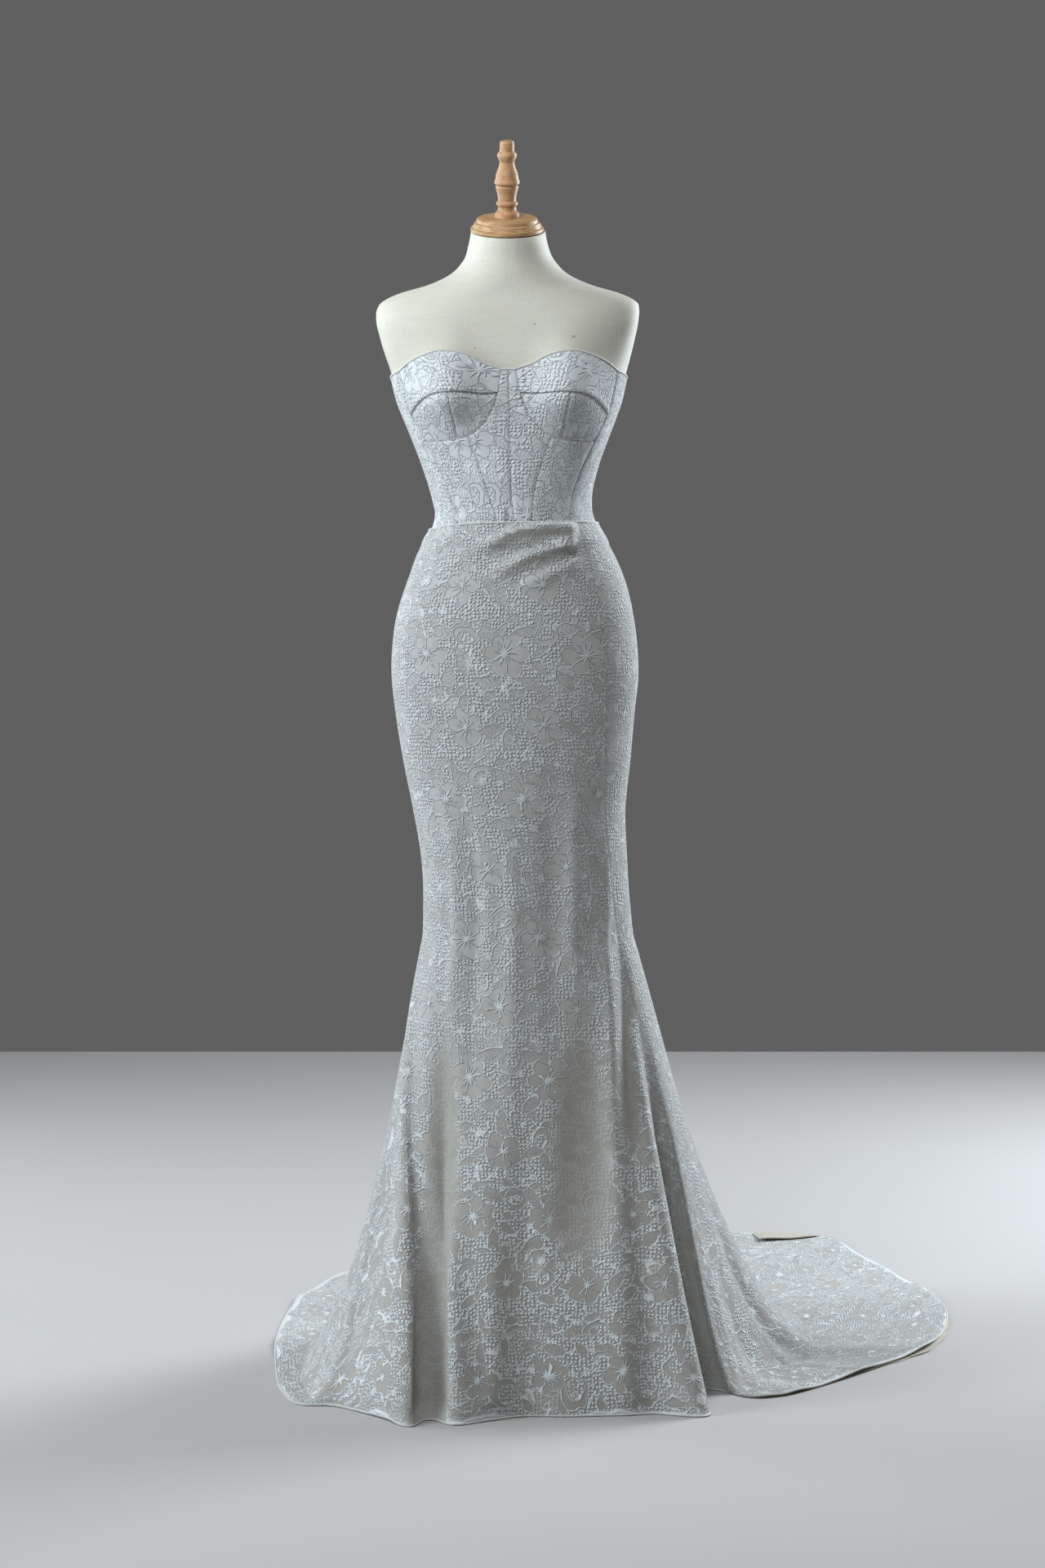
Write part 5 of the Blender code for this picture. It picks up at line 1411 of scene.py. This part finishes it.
class DRESS_OT_edging(PieceOperator, bpy.types.Operator):
    """The narrow corded edging along the neckline"""

    bl_idname = "dress.edging"
    bl_label = "Neckline edging"

    def build(self, m):
        dip = (0.0, NECKLINE[0][1])
        front = on_front(np.concatenate([line(dip, NECKLINE[0], 8)[:-1], curve(NECKLINE, 0, 8, 90)]), 1)
        right = [front]
        stops = (tuple(front[-1]), (SIDE_SEAM, SIDE_TOP), (BACK_SEAM, BACK_SEAM_TOP), (180.0, BACK_TOP))
        for start, end in zip(stops, stops[1:]):
            right.append(line(start, end, 40)[1:])
        right = np.concatenate(right)
        whole = np.concatenate([right[:0:-1] * np.array([-1.0, 1.0]), right])
        height = whole[:, 1] + NECKLINE_UP
        out = soft_facing_out(whole[:, 0], height)
        path = soft_figure(whole[:, 0], height) + (EASE + NECKLINE_OUT) * out
        even, path, out = evenly(path, out, NECKLINE_STEP)
        radius = NECKLINE_CORD * (1 + 0.12 * np.sin(even * 2 * np.pi / NECKLINE_PITCH))
        made = tube("neckline_cord", path, out, radius, m["edging"])
        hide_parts("neckline_edging")


class DRESS_OT_train(PieceOperator, bpy.types.Operator):
    """The lining under the tip of the train and the turned-over corner of its back edge"""

    bl_idname = "dress.train"
    bl_label = "Train lining and turned-over corner"

    def build(self, m):
        angle = np.linspace(*LINING_RANGE, 60)
        end, way = hem_line(angle)
        middle = np.sin(np.linspace(0.0, math.pi, len(angle)))
        past = -0.004 + (LINING_PEEK + 0.004) * middle + 0.002 * np.sin(angle * 1.3)
        share = np.linspace(0.0, 1.0, 12)[:, None]
        reach = -LINING_UNDER + (past + LINING_UNDER) * share
        under = end + way * reach[..., None]
        under[..., 2] = 0.0002 + 0.0005 * (1 + np.sin(angle * 0.9)) * share
        self.sheet("train_lining", under, LINING_THICKNESS, m, "laid", [])

        angle = np.linspace(*TURNBACK_RANGE, 50)
        hem = skirt(angle, np.full(angle.shape, 2.0))
        inside = skirt(angle, np.full(angle.shape, 2.0 - 1.0 / FALL_ROWS))
        length = np.linalg.norm(inside - hem, axis=-1)
        place = np.linspace(0.0, 1.0, len(angle))
        middle = np.interp(place, (0.0, 0.12, 0.30, 0.72, 1.0), (0.0, 0.22, 0.5, 1.0, 0.0))
        share = np.linspace(1.0, 0.0, 30)[:, None]
        reach = TURNBACK_EDGE * 0.2 + TURNBACK_WIDTH * share * (0.12 + 0.88 * middle)
        under = hem + (inside - hem) * (reach / length)[..., None]
        wave = 0.0007 * np.sin(angle * 1.1) * share
        bulge = 0.0025 * (1.0 - share) ** 0.5 * middle
        under[..., 2] += CLOTH + TURNBACK_GAP + 0.004 * share * middle + bulge + wave
        self.sheet("train_turnback", under, TURNBACK_THICKNESS, m, "folded", ["skirt_back_right_cloth"])

    def sheet(self, node, under, thickness, m, held, rests_on):
        """A piece of the lining's cloth over a grid that is its underside."""
        top = under + np.array([0.0, 0.0, thickness])
        maps = {"cloth": np.stack([along(top, 1), along(top, 0)], axis=-1)}
        made = cloth(node + "_cloth", top, under, maps, [m["lining"], m["lining"]], [node])


class DRESS_OT_form(PieceOperator, bpy.types.Operator):
    """The dress form's torso, neck cap, finial, pole and base"""

    bl_idname = "dress.form"
    bl_label = "Dress form"

    def build(self, m):
        turn = np.linspace(0.0, 360.0, COVER_COLUMNS)[None]
        seen = np.linspace(TORSO_RIM, COVER_SEEN_FROM, COVER_ROWS_SEEN)
        hidden = np.linspace(COVER_SEEN_FROM, TORSO_END, COVER_ROWS_HIDDEN)
        height = np.concatenate([seen, hidden[1:]])[:, None]
        ring = soft_figure(turn, height, FORM_BUST_DEPTH)
        taper = 1.0 - HIP_ROOM * ease_between(BODICE_END, HIP_ROOM_FULL, height)
        taper = taper - (1.0 - TORSO_TAPER) * ease_between(TORSO_TAPER_START, TORSO_END, height)
        centre = ring.mean(axis=1, keepdims=True)
        ring = centre + (ring - centre) * np.stack([taper, taper, np.ones_like(taper)], axis=-1)
        leaned = NECK_TOP[2] + (ring[..., 1] - NECK_TOP[1]) * math.tan(NECK_LEAN) - TORSO_RIM
        neck = np.clip((height - TORSO_NECK_START) / (TORSO_RIM - TORSO_NECK_START), 0.0, 1.0)
        ring[..., 2] += leaned * neck
        hub = ring[:1] * 0.0 + ring[:1].mean(axis=1, keepdims=True)
        foot = ring[-1:] * 0.0 + ring[-1:].mean(axis=1, keepdims=True)
        points = np.concatenate([hub, ring, foot])
        made = mesh_object("form_torso_cover", points, grid_quads(*points.shape[:2]), [m["cover"]])
        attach(made, ROOT)
        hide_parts("form_torso")

        top = neck_point(SEAM)
        turned_mesh("neck_cap_oak", CAP, m["oak"], top, ["form_neck_cap"])
        top = neck_point(CAP[-1][0] + 2 * SEAM)
        turned_mesh("finial_turned", FINIAL, m["beech"], top, ["form_finial"])
        finishes = {"form_pole": "steel", "form_base": "paint", "zip_slider": "steel", "zip_pull": "steel"}
        for node, key in finishes.items():
            finish_node(node, m[key])


def neck_point(up):
    """A point on the leaning axis of the neck, that far above the neck's top."""
    return (NECK_TOP[0], NECK_TOP[1] - math.sin(NECK_LEAN) * up, NECK_TOP[2] + math.cos(NECK_LEAN) * up)


def finish_node(node, material_):
    """Gives a CAD node that stays in view its material and rounds its hard edges."""
    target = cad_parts[node]
    for place in range(len(target.material_slots)):
        target.material_slots[place].material = material_
    size = min(high - low for low, high in zip(*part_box(node)))
    bevel = target.modifiers.new("round_edges", "BEVEL")
    bevel.width = min(0.0015, size * 0.08)
    bevel.segments = 2


class DRESS_OT_zip(PieceOperator, bpy.types.Operator):
    """The zip's teeth down the centre back"""

    bl_idname = "dress.zip"
    bl_label = "Zip teeth"

    def build(self, m):
        height = np.arange(ZIP_BOTTOM, ZIP_HEIGHT - 0.004, ZIP_PITCH)
        angle = np.full(height.shape, 180.0)
        skin = figure(angle, height)
        out = facing_out(figure, angle, height)
        lap = (CLOTH + SEAM + LAP_ROOM) * (height < SKIRT_TOP[0][1])
        lap = lap * ease_between(1.10, BODICE_END, height)
        place = skin + (EASE + CLOTH + 0.0001 + lap)[:, None] * out
        side = np.where(np.arange(len(height)) % 2 == 0, 1.0, -1.0)
        corner = np.array([[x, y, z] for x in (-1, 1) for y in (-1, 1) for z in (-1, 1)], float)
        points = place[:, None] + corner[None] * np.array(TOOTH_HALF)
        points[..., 0] += (side * TOOTH_ASIDE)[:, None]
        one = np.array([[0, 1, 3, 2], [4, 6, 7, 5], [0, 4, 5, 1], [2, 3, 7, 6], [0, 2, 6, 4], [1, 5, 7, 3]])
        quads = (one[None] + 8 * np.arange(len(height))[:, None, None]).reshape(-1, 4)
        made = mesh_object("zip_teeth", points, quads, [m["edging"]])
        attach(made, ROOT)


class DRESS_OT_stage(PieceOperator, bpy.types.Operator):
    """The plain pale floor, the soft lights and the camera"""

    bl_idname = "dress.stage"
    bl_label = "Studio"

    def build(self, m):
        x = np.linspace(-FLOOR_HALF, FLOOR_HALF, 3)
        y = np.linspace(-FLOOR_HALF, STAGE_BACK, 3)
        points = np.stack(np.broadcast_arrays(x[None], y[:, None], 0.0), axis=-1)
        material_ = floor_material(tuple(bpy.context.scene.dress_colours.floor))
        floor = mesh_object("studio_floor", points, grid_quads(3, 3)[:, ::-1], [material_])
        for name, place, aim, size, power, colour in LIGHTS:
            data = bpy.data.lights.new(name, "AREA")
            data.shape = "RECTANGLE"
            data.size, data.size_y = size
            data.energy = power
            data.color = colour
            lamp = bpy.data.objects.new(name, data)
            lamp.location = place
            way = mathutils.Vector(aim) - mathutils.Vector(place)
            lamp.rotation_euler = way.to_track_quat("-Z", "Y").to_euler()
            bpy.context.scene.collection.objects.link(lamp)
        world = bpy.data.worlds.new("studio_world")
        world.use_nodes = True
        world.node_tree.nodes["Background"].inputs[0].default_value = WORLD_COLOUR
        world.node_tree.nodes["Background"].inputs[1].default_value = WORLD_LIGHT
        bpy.context.scene.world = world
        bpy.context.scene.view_settings.view_transform = "Standard"
        data = bpy.data.cameras.new("camera")
        data.lens = CAMERA_LENS
        data.sensor_width = CAMERA_SENSOR
        camera = bpy.data.objects.new("camera", data)
        camera.location = CAMERA_PLACE
        camera.rotation_euler = (math.radians(90 - CAMERA_DOWN), 0.0, 0.0)
        bpy.context.scene.collection.objects.link(camera)
        bpy.context.scene.camera = camera


OPERATORS = (
    DRESS_OT_form, DRESS_OT_bodice, DRESS_OT_edging, DRESS_OT_skirt, DRESS_OT_train, DRESS_OT_zip,
    DRESS_OT_stage,
)


class DRESS_PT_panel(bpy.types.Panel):
    """The dress's settings and pieces"""

    bl_idname = "DRESS_PT_panel"
    bl_label = "Wedding dress"
    bl_space_type = "VIEW_3D"
    bl_region_type = "UI"
    bl_category = "Dress"

    def draw(self, context):
        for group in (context.scene.dress_sizes, context.scene.dress_colours):
            for key in type(group).__annotations__:
                self.layout.prop(group, key)
        for operator in OPERATORS:
            self.layout.operator(operator.bl_idname)


CLASSES = (DressSizes, DressColours, *OPERATORS, DRESS_PT_panel)


def register():
    for item in CLASSES:
        bpy.utils.register_class(item)
    bpy.types.Scene.dress_sizes = bpy.props.PointerProperty(type=DressSizes)
    bpy.types.Scene.dress_colours = bpy.props.PointerProperty(type=DressColours)


def unregister():
    del bpy.types.Scene.dress_sizes
    del bpy.types.Scene.dress_colours
    for item in reversed(CLASSES):
        bpy.utils.unregister_class(item)


def main():
    register()
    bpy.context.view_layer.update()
    for operator in OPERATORS:
        group, name = operator.bl_idname.split(".")
        getattr(getattr(bpy.ops, group), name)()


if __name__ == "__main__":
    main()
